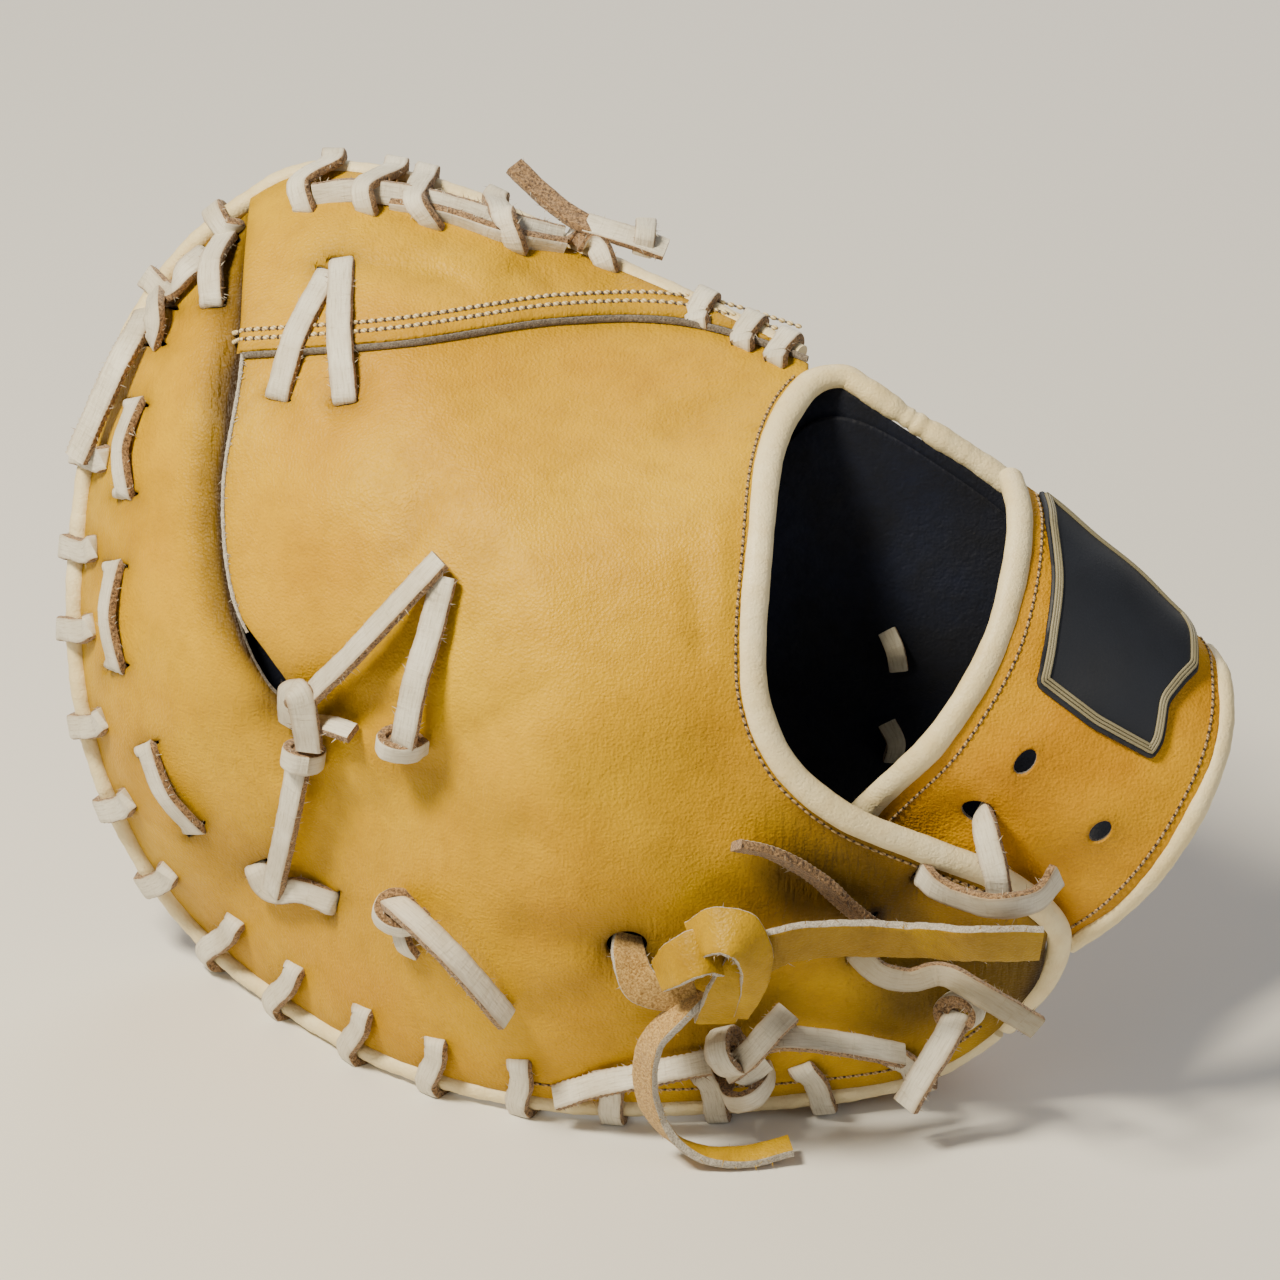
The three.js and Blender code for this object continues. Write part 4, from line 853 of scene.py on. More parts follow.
surfaceLaces = {
    "thumb_lace": [
        {"rows": [(-81.5, 94.5, 1.6), (-89.5, 79, 2.6), (-93.8, 64, 1.2)], "dive": "both",
         "face": (-0.35, 0.35, 0.87)},
        {"rows": [(-77.6, 97.8, 1.8), (-78, 80, 3.8), (-76.5, 62.8, 1.3)], "dive": "both",
         "face": (-0.25, 0.3, 0.92)},
    ],
    "finger_tip_lace": [
        {"rows": [(-114.0, 100.6, 1.6), (-118.9, 96.6, 3.4), (-123.4, 89.1, 1.2)], "dive": "both",
         "face": (0.35, 0.8, 0.5)},
        {"rows": [(-108.8, 105.4, 1.6), (-112.2, 98.3, 3.8), (-111.8, 88.6, 1.2)], "dive": "both",
         "face": (-0.45, 0.3, 0.84)},
    ],
    "finger_lace_1": [{"rows": [(-132.2, 61.4, 1.2), (-136.0, 50, 2.4), (-134.8, 38.8, 1.2)],
                       "dive": "both"}],
    "finger_lace_2": [{"rows": [(-137.6, 18.8, 1.2), (-139.6, 6.5, 2.4), (-137.2, -6.3, 1.2)],
                       "dive": "both"}],
    "finger_lace_3": [{"rows": [(-129, -28.9, 1.3), (-124.8, -40.2, 2.6), (-117.2, -49.2, 1.3)],
                       "dive": "both"}],
    "finger_tie_tail": [
        {"rows": [(-129.6, 86, 1.8), (-132.5, 80, 4.2), (-136.5, 72.5, 0, -9), (-141, 63, 0, -12),
                  (-145, 54, 0, -15),
                  (-147.8, 47.6, 0, -17.6)], "dive": "start", "face": (-0.4, 0.25, 0.88), "rough": True},
        {"rows": [(-127.3, 92, 1.8), (-127.0, 85.5, 5.4), (-127.3, 78.6, 1.6)], "dive": "both",
         "width": 6.2},
    ],
    "thumb_edge_lace": [
        {"rows": [(-85, 116.0, 2.6), (-74.6, 117.2, 3.2), (-62.9, 116, 3.6), (-51.2, 113.4, 3.8),
                  (-34.5, 108.4, 3.6), (-20.3, 104.8, 2.8)],
         "face": (0, -0.2, 0.98), "width": 6.4},
        {"rows": [(-65, 112.6, 0.9), (-51.2, 110.4, 2.2), (-35.6, 105.2, 2.6), (-19.6, 102.2, 2.2)],
         "face": (0, -0.75, 0.66), "width": 5.6},
    ],
    "thumb_tie": [
        {"rows": [(-33, 123.5, 0, 7), (-25, 115.8, 0, 9), (-16.8, 109.6, 0, 11.5), (-8, 106, 0, 12.5)],
         "face": (0.25, 0.55, 0.8), "flip": True, "width": 5.6},
        {"rows": [(-14, 108.4, 0, 12), (-3.4, 105.2, 0, 15), (6.8, 101.6, 0, 15.6)], "width": 6},
        {"rows": [(1.6, 109, 0, 11), (1.4, 105.4, 0, 17.6), (0.6, 100.4, 0, 14)], "width": 5.4},
    ],
    "crotch_lace": [
        {"rows": [(-88, -24, 3.0), (-86.6, -16.4, 6.0), (-75.0, -4.4, 7.6), (-62.8, 8.6, 7.4),
                  (-51.4, 20.8, 4.8)],
         "face": (-0.5, 0.4, 0.77)},
        {"worn": 0.15, "rows": [(-90.6, -22, 3.4), (-91.2, -14.6, 7.2), (-88.4, -13.6, 9.6),
                                (-86.6, -21, 10.4), (-85.6, -28.5, 8.0)],
         "face": (-0.3, 0.25, 0.92), "width": 7.4},
        {"rows": [(-88.4, -31, 5.4), (-89.8, -38, 5.8), (-92.4, -50, 5.0), (-94.6, -59, 4.4),
                  (-96.2, -65.6, 3.8)],
         "face": (-0.45, 0.1, 0.89)},
        {"rows": [(-85, -21.5, 3.2), (-79.5, -22.2, 4.6), (-74.2, -24.0, 3.2)], "face": (0.1, 0.5, 0.86),
         "width": 5.6},
    ],
    "crotch_cross_lace": [
        {"rows": [(-100.2, -60.2, 1.2), (-97.6, -65.0, 2.2), (-88, -65.6, 2.6), (-80.8, -68.4, 1.2)],
         "dive": "both",
         "face": (0.05, -0.35, 0.94)},
    ],
    "upper_knot_lace": [
        {"rows": [(-61.6, -29, 4.0), (-60.6, -24.4, 7.0), (-57.6, -10, 6.6), (-54, 2, 5.4),
                  (-50.4, 16.4, 3.4)],
         "face": (-0.25, 0.1, 0.96)},
    ],
    "lower_knot_lace": [
        {"rows": [(-65, -67.4, 3.2), (-60.8, -70.2, 7.4), (-50, -80.3, 7.4), (-42, -89.2, 6),
                  (-34.4, -98.4, 4.2)],
         "face": (0.3, 0.35, 0.88), "width": 7.2},
        {"rows": [(-62.6, -75, 2.8), (-61.2, -79.6, 4.2), (-59.6, -81.6, 2.2)], "width": 5.4},
    ],
    "strap_lace": [
        {"rows": [(88.0, -44.2, 0, 50), (88.6, -47.4, 0, 60.2), (90, -54, 0, 64.4), (91.6, -60.5, 0, 65.4),
                  (92.6, -66, 0, 62)],
         "width": [5.6, 6.8, 7.2, 6.8, 6.4], "face": (-0.3, -0.1, 0.95)},
    ],
    "heel_cross_lace": [
        {"rows": [(73.0, -60.6, 1.4), (75.6, -63.4, 3.8), (81, -66.0, 6.0), (92.1, -68.6, 0, 67.4),
                  (102.4, -66.6, 0, 65), (107.6, -60.6, 0, 61)],
         "face": (0, -0.68, 0.73), "dive": "start", "width": 7.6},
    ],
    "heel_upper_tail": [
        {"rows": [(24.8, -52.6, 4.6), (33.8, -54.6, 4.8), (46.2, -61.6, 3.8), (52.6, -67.6, 3.0),
                  (58.6, -72.6, 1.6)],
         "face": (-0.4, -0.86, 0.32), "dive": "end", "rough": True, "flip": True},
    ],
    "heel_middle_lace": [
        {"rows": [(56.5, -81.4, 1.4), (62, -86.4, 3.6), (70, -88.2, 4.4), (78, -86.6, 6.0),
                  (89.4, -92.4, 0, 42), (102.9, -100.4, 0, 33.5)],
         "face": (0.15, -0.45, 0.88), "dive": "start", "width": 6.4, "worn": 0.6},
    ],
    "heel_small_knot": [
        {"rows": [(82.6, -97, 5.4), (78.6, -104.4, 0, 30), (74, -112, 0, 26), (68.9, -121.0, 0, 22.4)],
         "width": 7.4,
         "face": (-0.35, 0.2, 0.91)},
    ],
    "heel_big_knot": [
        {"rows": [(30, -104.6, 5.4), (38, -103.2, 8.2), (54, -105.0, 8.0), (68.6, -108.0, 7.0)],
         "width": 6.6, "face": (0, 0.45, 0.89)},
        {"rows": [(22.6, -112.2, 4.6), (28.4, -107.4, 9.8), (34.2, -100.6, 10.2), (38.4, -96.4, 6.6)],
         "width": 7, "face": (-0.2, 0.1, 0.97)},
        {"rows": [(33, -109.4, 4.0), (27.6, -113.2, 5.8), (22, -109.4, 4.6)], "width": 5.4,
         "face": (0.1, -0.5, 0.86)},
    ],
    "heel_edge_lace": [
        {"rows": [(-22, -119.2, 2.6), (-11, -115.6, 3.8), (-1.5, -113.6, 4.6), (8, -111.6, 4.8),
                  (18, -109.6, 4.4)],
         "face": (0.05, 0.25, 0.97), "rough": True},
    ],
}
# Rings of lace wound round a tail: node, middle x, y, lift, axis, radii, turns
rings = [
    {"node": "upper_knot_lace", "at": (-61.6, -27.0, 3.4), "axis": (0.1, 0.72, 0.68), "radii": (6.0, 4.4),
     "turns": 1.9,
     "inner": 0.45, "rise": 2.2},
    {"node": "lower_knot_lace", "at": (-62.3, -70.4, 3.2), "axis": (0.1, 0.45, 0.88), "radii": (7.0, 5.8),
     "turns": 2.1,
     "inner": 0.4, "rise": 2.0},
    {"node": "crotch_lace", "at": (-87.0, -30.6, 5.4), "axis": (0.15, 0.86, 0.5), "radii": (5.2, 4.2),
     "turns": 1.7,
     "inner": 0.55, "rise": 1.5, "width": 5.8},
    {"node": "heel_small_knot", "at": (83.4, -96.4, 5.6), "axis": (-0.5, -0.35, 0.79), "radii": (5.8, 5.0),
     "turns": 1.7,
     "inner": 0.55, "rise": 1.5},
    {"node": "heel_big_knot", "at": (22.6, -106.6, 5.0), "axis": (0.88, 0.2, 0.42), "radii": (7.6, 5.6),
     "turns": 1.8,
     "inner": 0.6, "rise": 2.5, "width": 6.2},
    {"node": "heel_big_knot", "at": (27.8, -114.6, 2.0), "axis": (-0.25, 0.72, 0.65), "radii": (5.8, 8.4),
     "turns": 1.05,
     "width": 6.2},
]
thong = {
    "width": 13, "thick": 2.6, "hole": (-3.4, -79.0, 4.6),
    "strands": [
        {"rows": [(-3.4, -76.6, -3.0), (-2.8, -82.4, 3.0), (0.2, -88.8, 5.6), (7, -91.4, 6.6),
                  (14, -89, 6.2)],
         "face": (0.35, -0.5, 0.8), "width": [8, 9, 10, 9, 9], "flip": True},
        {"rows": [(15, -91, 6.0), (10.2, -96.6, 10.5), (3.6, -103.5, 12.5), (1.4, -112.5, 0, 36),
                  (3.2, -121.5, 0, 30),
                  (8.4, -129, 0, 25.6), (16.6, -133.4, 0, 23.4), (27.6, -134, 0, 22.6),
                  (39.2, -131.2, 0, 21.6)],
         "across": [(0.5, -0.45, 0.74), (0.55, -0.35, 0.76), (0.66, -0.12, 0.74), (0.68, 0.04, 0.73),
                    (0.52, 0.12, 0.84),
                    (0.22, -0.12, 0.97), (0.05, -0.42, 0.9), (0.0, -0.62, 0.78), (0.0, -0.66, 0.75)],
         "width": [8, 8, 7.4, 7, 7, 7, 7, 7, 6.5]},
        {"rows": [(29, -83, 8.5), (36, -79, 11.5), (50, -77.2, 11.5), (70, -77.6, 13), (86, -78.2, 0, 69),
                  (103.2, -78.2, 0, 67)],
         "face": (0, -0.76, 0.65), "width": [12, 13, 13, 12.6, 12.4, 12], "worn": 0.3},
        {"rows": [(23, -81.5, 9.5), (15.5, -80.4, 13.2), (9.4, -83.2, 12.2), (5.2, -86.6, 7.6)],
         "face": (-0.3, 0.1, 0.95),
         "width": [11, 12.5, 12, 9]},
        {"rows": [(26.6, -80.6, 11.5), (24.4, -85, 13.6), (22.4, -91, 13.2), (19.4, -98.4, 9.0)],
         "face": (0.25, -0.2, 0.95),
         "width": [5, 8, 11, 11.5]},
        {"rows": [(13.8, -77.4, 9.5), (19.6, -74.8, 14.2), (26, -76.2, 16.8), (29.6, -81.6, 17.2),
                  (29.4, -89, 15.2), (26.2, -97, 10.8)],
         "face": (0.2, 0.15, 0.96), "width": [10.5, 12.5, 13, 10, 7, 4]},
    ],
}
# The top loops are slack and slanted: where they leave the binding, in degrees, and their way to their slits
slackLoops = {
    84: {"edge": 91.4, "way": [(-8.6, 96.1, -2.8), (-8.8, 97.6, 2.0), (-12.0, 103.4, 5.0)]},
    98: {"edge": 101.6, "way": [(-32.3, 100.8, -2.8), (-32.4, 102.4, 2.2), (-35.2, 110, 6.4)]},
    107: {"edge": 108.7, "way": [(-54.0, 107.0, -2.8), (-54.6, 108.4, 2.2), (-58.6, 114.4, 6.0)]},
    113: {"edge": 111.6, "way": [(-70.4, 110.8, -2.8), (-71.4, 112.4, 2.2), (-72.4, 117.8, 5.6)]},
    121: {"edge": 117.2, "way": [(-86.6, 111.4, -2.8), (-87.8, 113.0, 2.2), (-89.2, 119.4, 5.0)]},
}


# Rows become points: on the leather, or at their own depth
def rowPoints(rows):
    flat = np.array([row[:2] for row in rows], float)
    lift = np.array([row[2] for row in rows], float)
    points = pointsAbove(backHeight, flat, lift)
    normals = normalsOf(plainBack, flat)
    for i, row in enumerate(rows):
        if len(row) == 4:
            points[i] = (row[0], row[1], row[3])
            normals[i] = unit(np.array([0, 0.5, 0.87]))
    return points, normals


def strandShape(strand, width, thick):
    points, normals = rowPoints(strand["rows"])
    ahead = unit(np.gradient(points, axis=0))
    face = normals
    if "face" in strand:
        face = unit(np.broadcast_to(np.array(strand["face"], float), normals.shape))
    across = np.cross(ahead, face) if "across" not in strand else np.array(strand["across"], float)
    widths = list(np.broadcast_to(strand.get("width", width), len(points)))
    if strand.get("flip"):
        across = -across
    dive, (on, deep), narrow = strand.get("dive", ""), lace["dive"], lace["narrows"]
    if dive in ("start", "both"):
        down = points[0] - ahead[0] * on - (0, 0, deep)
        points, across = np.vstack([down, points]), np.vstack([across[0], across])
        widths = [widths[0] * narrow, *widths]
    if dive in ("end", "both"):
        down = points[-1] + ahead[-1] * on - (0, 0, deep)
        points, across = np.vstack([points, down]), np.vstack([across, across[-1]])
        widths = [*widths, widths[-1] * narrow]
    frayed = pinches(1.7, 0.05, 11) if strand.get("rough") else pinches(9, 0.018, len(points))
    strip = stripAlong(points, across, widths, thick, cup=0.25, step=0.6, ripple=frayed, fuzz=lace["fuzz"])
    # a worn-and-shaded strand is darker all over: painted shade, for a strand that lies in shade
    strip["shade"] += strand.get("worn", 0)
    return strip


# A slit in the leather across a lace's end, with the dent that the lace pulls round it
def slitHoles():
    holes = []
    for strands in surfaceLaces.values():
        for strand in strands:
            rows = np.array([row[:2] for row in strand["rows"]], float)
            dive = strand.get("dive", "")
            if dive in ("start", "both"):
                holes.append((rows[0], unit(rows[0] - rows[1])))
            if dive in ("end", "both"):
                holes.append((rows[-1], unit(rows[-1] - rows[-2])))
    shapes, (long, wide) = [], lace["slit"]
    for point, ahead in holes:
        middle = point + ahead * lace["slitAhead"]
        loopHoles.append((middle[0], middle[1], *wornBack["slitDent"]))
        side = np.array([-ahead[1], ahead[0]])
        turn = np.linspace(0, 2 * np.pi, 18, endpoint=False)
        shapes.append(middle + np.outer(np.cos(turn), side) * long / 2
                      + np.outer(np.sin(turn), ahead) * wide / 2)
    return shapes


def loopDents():
    for group in loops:
        for angle in group["angles"]:
            turn = math.radians(angle)
            reach = edgeAt(backEdge, turn)[0] - group["back"] * 0.7
            (x, y), = fromPolar(turn, reach)
            loopHoles.append((x, y, *wornBack["loopDent"]))


laceSlits = slitHoles()
loopDents()
loopHoles.append((thong["hole"][0], thong["hole"][1], *wornBack["thongDent"]))
print("laces laid out:", len(laceSlits), "slits")

# Leather panels
panel = {
    "netMm": 1.45, "openingEdge": 2.4, "seamSwell": 0.5, "seamEnd": -108, "rawFrom": -104, "rawTo": 44,
    "slitHalf": [(0, 0.25), (112, 0.3), (124, 0.7), (134, 2.0), (143, 2.5), (150, 1.4), (156, 0.3)],
    "paleEdge": (1.25, 0.9), "rawEdge": (1.9, 0.9),  # the cut edges' width and thickness
}


def edgeOutline(table, grow, count=420):
    angles = np.linspace(0, 2 * np.pi, count, endpoint=False)
    return fromPolar(angles, edgeAt(table, angles)[0] + grow)


def slitOutline():
    line = evenly(slitLine, 2)
    walked = np.concatenate([[0], np.cumsum(np.linalg.norm(np.diff(line, axis=0), axis=1))])
    half = np.interp(walked, *zip(*panel["slitHalf"]))
    return np.vstack([leftOf(line, half), leftOf(line, -half)[::-1]])


def openingOutline():
    line = leftOf(smoothLine(shell["opening"], 2), -panel["openingEdge"])
    return np.vstack([line, [(260, -73), (260, 140), (47, 140)]])


def seamOutline(offset):
    line = leftOf(smoothLine(shell["seam"], 2), offset)
    return np.vstack([line, [(120, 200), (-101, 200)]])


rightOfSlit = np.vstack([slitLine, [(200, -20), (200, 128)]])
slitEdge = slitOutline()
openingEdge = openingOutline()
backOutline = edgeOutline(backEdge, 0.9)
turns = np.linspace(0, 2 * np.pi, 24, endpoint=False)
thongHole = np.array(thong["hole"][:2]) + np.column_stack([np.cos(turns) * 5.2, np.sin(turns) * 3.4])


# Darker spots on the back: painted shade round the knots, the heel thong and under the laces, with some oil
# darkening from hands: x, y, radius, how much
grimeAndShade = [
    (-96, -18, 15, 0.22), (-112, -20, 10, 0.12), (-62, -32, 10, 0.2), (-64, -78, 11, 0.18),
    (61, -66, 14, 0.8), (46, -60, 16, 0.7), (98, -85, 15, 0.95), (82, -80, 15, 0.5),
    (66, -96, 14, 0.8), (37, -66, 12, 0.4), (33, -94, 10, 0.4), (11, -100, 9, 0.3), (4, -82, 10, 0.35),
    (22, -102, 15, 0.35), (84, -92, 12, 0.4), (-100, -62, 26, 0.12), (-84, 108, 12, 0.15),
    (-60, 106, 12, 0.15),
    (-34, 100, 11, 0.15), (-110, 66, 9, 0.25), (-12, 94, 10, 0.12), (-124, -4, 14, 0.1), (40, -46, 10, 0.15),
]


# Painted shade on the back: darker in its hollows, creases and dents, along the rolled right lip of the
# slit, and in the darker spots
def foldShade(flat):
    x, y = flat.T
    darkSpots = sum(dark * np.exp(-((x - a) ** 2 + (y - b) ** 2) / r**2) for a, b, r, dark in grimeAndShade)
    near, side, along = besideLine(flat, slitLine)
    rolled = wornBack["rollShade"] * np.exp(-((near / 6) ** 2)) * (side < 0) * smooth((along - 10) / 30)
    folded = np.clip(-backDetail(flat) * wornBack["foldShade"], 0, 0.4)
    return np.clip(folded + rolled + darkSpots * wornBack["spotShade"], 0, wornBack["darkest"])


def backPanels():
    seamEdge = seamOutline(0)

    def onMitt(flat):
        kept = insideOf(flat, backOutline) & ~insideOf(flat, openingEdge) & ~insideOf(flat, slitEdge)
        for hole in [thongHole, *laceSlits]:
            kept &= ~insideOf(flat, hole)
        return kept

    def onThumb(flat):
        return insideOf(flat, seamEdge) & insideOf(flat, rightOfSlit)

    def lifted(step):
        def front(flat, sunk):
            return pointsOn(backHeight, flat, step(flat) + sunk)

        def back(flat, sunk):
            return pointsOn(backHeight, flat, step(flat) - shell["leather"] + sunk)
        return front, back

    # Beside the seam the panel is a little fuller and the back under it a little lower
    def seamSwell(flat):
        return panel["seamSwell"] * np.exp(-((besideLine(flat, seamLine)[0] / 4) ** 2))

    def thumbStep(flat):
        return shell["seamStep"] + seamSwell(flat)

    def backStep(flat):
        return -seamSwell(flat) * (flat[:, 0] > panel["seamEnd"])

    cuts = [backOutline, openingEdge, slitEdge, seamEdge, thongHole, *laceSlits]
    net = flatNet(cuts, lambda flat: onMitt(flat) & ~onThumb(flat), panel["netMm"])

    # The slit's left lip shows its pale cut edge
    line = leftOf(evenly(slitLine, 2)[24:65], 0.75)
    widths = panel["paleEdge"][0] * np.clip(3 * np.sin(np.linspace(0.02, np.pi - 0.02, len(line))), 0, 1)
    points = pointsAbove(backHeight, line, 0.15)
    across = np.cross(unit(np.gradient(points, axis=0)), unit(normalsOf(plainBack, line) + (-0.8, 0, 0)))
    pale = stripAlong(points, across, widths, panel["paleEdge"][1], corner=2.5, sides=10,
                      ripple=pinches(2.7, 0.12, 9), fuzz=14)
    pale["finish"] = [3] * len(pale["finish"])
    addPiece("backLeather", [wallOver(net, *lifted(backStep), shadeAt=foldShade), pale],
             [tanCowhide, navyLining, rawEdge, paleEdge], ["back_shell"])

    # The thumb panel, with the raw edge that its lap leaves along the seam
    net = flatNet(cuts, lambda flat: onMitt(flat) & onThumb(flat), panel["netMm"])
    line = leftOf(smoothLine(shell["seam"], 1.5), -0.35)
    line = line[(line[:, 0] > panel["rawFrom"]) & (line[:, 0] < panel["rawTo"])]
    normals = unit(normalsOf(plainBack, line) + (0, -1.1, 0))
    points = pointsAbove(backHeight, line, 0.75)
    across = np.cross(unit(np.gradient(points, axis=0)), normals)
    raw = stripAlong(points, across, *panel["rawEdge"], corner=2.5, sides=10, ripple=pinches(2.3, 0.06, 8))
    raw["finish"] = [2] * len(raw["finish"])
    addPiece("thumbLeather", [wallOver(net, *lifted(thumbStep), shadeAt=foldShade), raw],
             [tanCowhide, navyLining, rawEdge], ["thumb_panel"])


backPanels()
print("back leather done")


# The palm side: its upper face lines the hand, its lower face is the padded palm
palm = {
    "netMm": 1.8, "liningNetMm": 2.0, "seamSink": 1.6, "lacePitch": 13.5, "laceWidth": 5.8, "laceThick": 2.2,
    "laceReach": (-5.4, -4.8, -2, 2, 4.8, 5.4), "laceLift": (-2.4, 1.0, 1.7, 1.7, 1.0, -2.4),
    "stitchRows": (8.6, 11.2), "edgeRow": 15, "edgeRowDegrees": (128, 262), "clearOfEdge": 8,
    "clearOfWeb": 14,
    # two patches darken the pocket, painted shade with some wear, and the web seam's groove and the creases
    # get painted shade
    "worn": [(-60, 5, 60, 50, 0.3), (20, -40, 30, 30, 0.25)],  # x, y, half widths, how worn
    "seamShade": 0.3, "palmFoldShade": 0.12, "darkestPalm": 0.6, "edgeInset": 0.6,
}
# Its folds: from x, y to x, y, half width, height
palmFolds = [
    (-60, -60, 40, 30, 7, 2.6), (-40, 70, 30, 40, 7, 2.0), (-30, -90, 60, -60, 7, 2.0),
    (-100, -40, -30, -10, 5, 1.6),
    (-70, 10, 0, 40, 6, 1.4), (-20, -20, 60, 8, 5, 1.6), (-90, -70, -40, -40, 5, 1.2),
    (0, 60, 60, 30, 4, 1.2),
    (-50, -100, -10, -60, 5, 1.4), (20, -40, 90, -20, 5, 1.4), (-60, 90, -10, 60, 5, 1.0),
]


def palmDetail(flat):
    x, y = flat.T
    folds = 0.0
    for ax, ay, bx, by, width, depth in palmFolds:
        run = np.array([bx - ax, by - ay], float)
        t = ((x - ax) * run[0] + (y - ay) * run[1]) / (run @ run)
        off = ((y - ay) * run[0] - (x - ax) * run[1]) / np.linalg.norm(run) + 3 * np.sin(t * 5 + depth)
        ends = np.exp(-(np.clip(np.abs(t - 0.5) - 0.4, 0, 9) / 0.2) ** 2)
        folds = folds + depth * np.exp(-((off / width) ** 2)) * ends
    return folds * 0.6 + 0.4 * np.sin(x / 13 + np.sin(y / 17)) * np.sin(y / 12)


# Points on the palm's outer face, or so far off it
def palmOuter(flat, lift=0.0):
    flat = np.asarray(flat, float)
    rise = palmPadding(flat) / np.maximum(normalsOf(palmHeight, flat)[:, 2], 0.5)
    return np.column_stack([flat, palmHeight(flat) - rise + palmDetail(flat) - lift])


# Averages the heights of both faces with their neighbours where it is steep, so the deep fold is smooth
def evenedOut(wall, net, rounds=30):
    flat, triangles = net
    links = np.concatenate([triangles[:, [0, 1]], triangles[:, [1, 2]], triangles[:, [2, 0]]])
    links = np.concatenate([links, links[:, ::-1]])
    many = np.bincount(links[:, 0], minlength=len(flat))
    steep = smooth((0.93 - normalsOf(palmHeight, flat)[:, 2]) / 0.2)
    inside, outside = wall["points"][:len(flat), 2].copy(), wall["points"][len(flat):, 2].copy()
    inner = polar(flat)[1] < edgeAt(palmEdge, polar(flat)[0])[0] - 4
    for _ in range(rounds):
        steep = np.maximum(steep, 0.9 * np.bincount(links[:, 0], steep[links[:, 1]], len(flat)) / many)
        for height in (inside, outside):
            mean = np.bincount(links[:, 0], height[links[:, 1]], len(flat)) / many
            height += (mean - height) * steep * inner * 0.9
    wall["points"][:, 2] = np.concatenate([inside, outside])
    return wall


def palmPanels():
    outline = edgeOutline(palmEdge, palm["edgeInset"])
    webEdge = curveAt(shell["web"], np.linspace(0, 1, 120, endpoint=False), closed=True)
    ring = evenly(webEdge, 2, closed=True)

    def inner(flat, sunk):
        return pointsOn(palmHeight, flat, sunk)

    def outer(flat, sunk):
        near = nearest(flat, ring)
        return palmOuter(flat, -sunk - palm["seamSink"] * np.exp(-((near / 3.0) ** 2)))

    # The palm's outer face is darker in its creases, along the web seam's groove and in the pocket patches:
    # painted shade, with some wear in the patches
    def worn(flat):
        x, y = flat.T
        darkSpots = sum(most * np.exp(-(((x - a) / wide) ** 2 + ((y - b) / high) ** 2))
                    for a, b, wide, high, most in palm["worn"])
        seam = palm["seamShade"] * np.exp(-((nearest(flat, ring) / 5) ** 2))
        return np.clip(darkSpots + palm["palmFoldShade"] * palmDetail(flat) + seam, 0, palm["darkestPalm"])

    net = flatNet([outline, webEdge], lambda flat: insideOf(flat, outline) & ~insideOf(flat, webEdge),
                  palm["netMm"])
    wall = evenedOut(wallOver(net, inner, outer, backShadeAt=worn), net)
    addPiece("palmLeather", [wall], [navyLining, strapCowhide, navyLining], ["palm_shell"])
    net = flatNet([webEdge], lambda flat: insideOf(flat, webEdge), palm["netMm"])
    addPiece("webLeather", [wallOver(net, inner, outer, backShadeAt=worn)],
             [navyLining, strapCowhide, navyLining], ["web_panel"])

    # The web is laced to the palm with short slanted laces, and sewn with a double row round them
    line = evenly(webEdge, palm["lacePitch"], closed=True)
    ahead = unit(np.roll(line, -1, axis=0) - np.roll(line, 1, axis=0))
    away = np.column_stack([ahead[:, 1], -ahead[:, 0]])
    shapes = []
    for i, (spot, run, out) in enumerate(zip(line, ahead, away)):
        flat = np.array([spot + out * reach + run * reach * 0.35 for reach in palm["laceReach"]])
        inside = polar(flat)[1] < edgeAt(palmEdge, polar(flat)[0])[0] - 6
        if inside.all():
            points = palmOuter(flat, np.array(palm["laceLift"]))
            across = np.broadcast_to([*run, 0], points.shape)
            shapes.append(stripAlong(points, across, palm["laceWidth"], palm["laceThick"], cup=0.2, step=0.7,
                                     ripple=pinches(7, 0.03, i), fuzz=6))
    addPiece("webLaces", shapes, [rawhideLace, laceSuede, laceSuede], [])

    def stitched(row):
        down = np.broadcast_to([0.0, 0.0, -1.0], (len(row), 3))
        return stitchesAlong(palmOuter(row, 0.25), down, thread=0.5)

    rows = []
    for inset in palm["stitchRows"]:
        row = evenly(line + away * inset, 1, closed=True)
        row = row[polar(row)[1] < edgeAt(palmEdge, polar(row)[0])[0] - palm["clearOfEdge"]]
        gaps = np.flatnonzero(np.linalg.norm(np.diff(row, axis=0), axis=1) > 3) + 1
        for part in np.split(row, gaps):
            if len(part) > 4:
                rows += stitched(part)
    angles = np.radians(np.arange(*palm["edgeRowDegrees"], 0.4))
    row = fromPolar(angles, edgeAt(palmEdge, angles)[0] - palm["edgeRow"])
    row = row[~insideOf(row, evenly(line + away * palm["clearOfWeb"], 2, closed=True))]
    rows += stitched(row)
    addPiece("palmStitches", rows, [creamThread, needleHoleShade], [])


palmPanels()


def liningPiece():
    edge = curveAt(shell["liningEdge"], np.linspace(0, 1, 120, endpoint=False), closed=True)
    net = flatNet([edge], lambda flat: insideOf(flat, edge), palm["liningNetMm"])

    def front(flat, sunk):
        return pointsOn(palmHeight, flat, shell["gap"] + shell["lining"] + sunk)

    def back(flat, sunk):
        return pointsOn(palmHeight, flat, shell["gap"] + sunk)

    addPiece("handLining", [wallOver(net, front, back)], [navyLining, navyLining, navyLining],
             ["hand_lining"])


liningPiece()
print("palm and lining done")

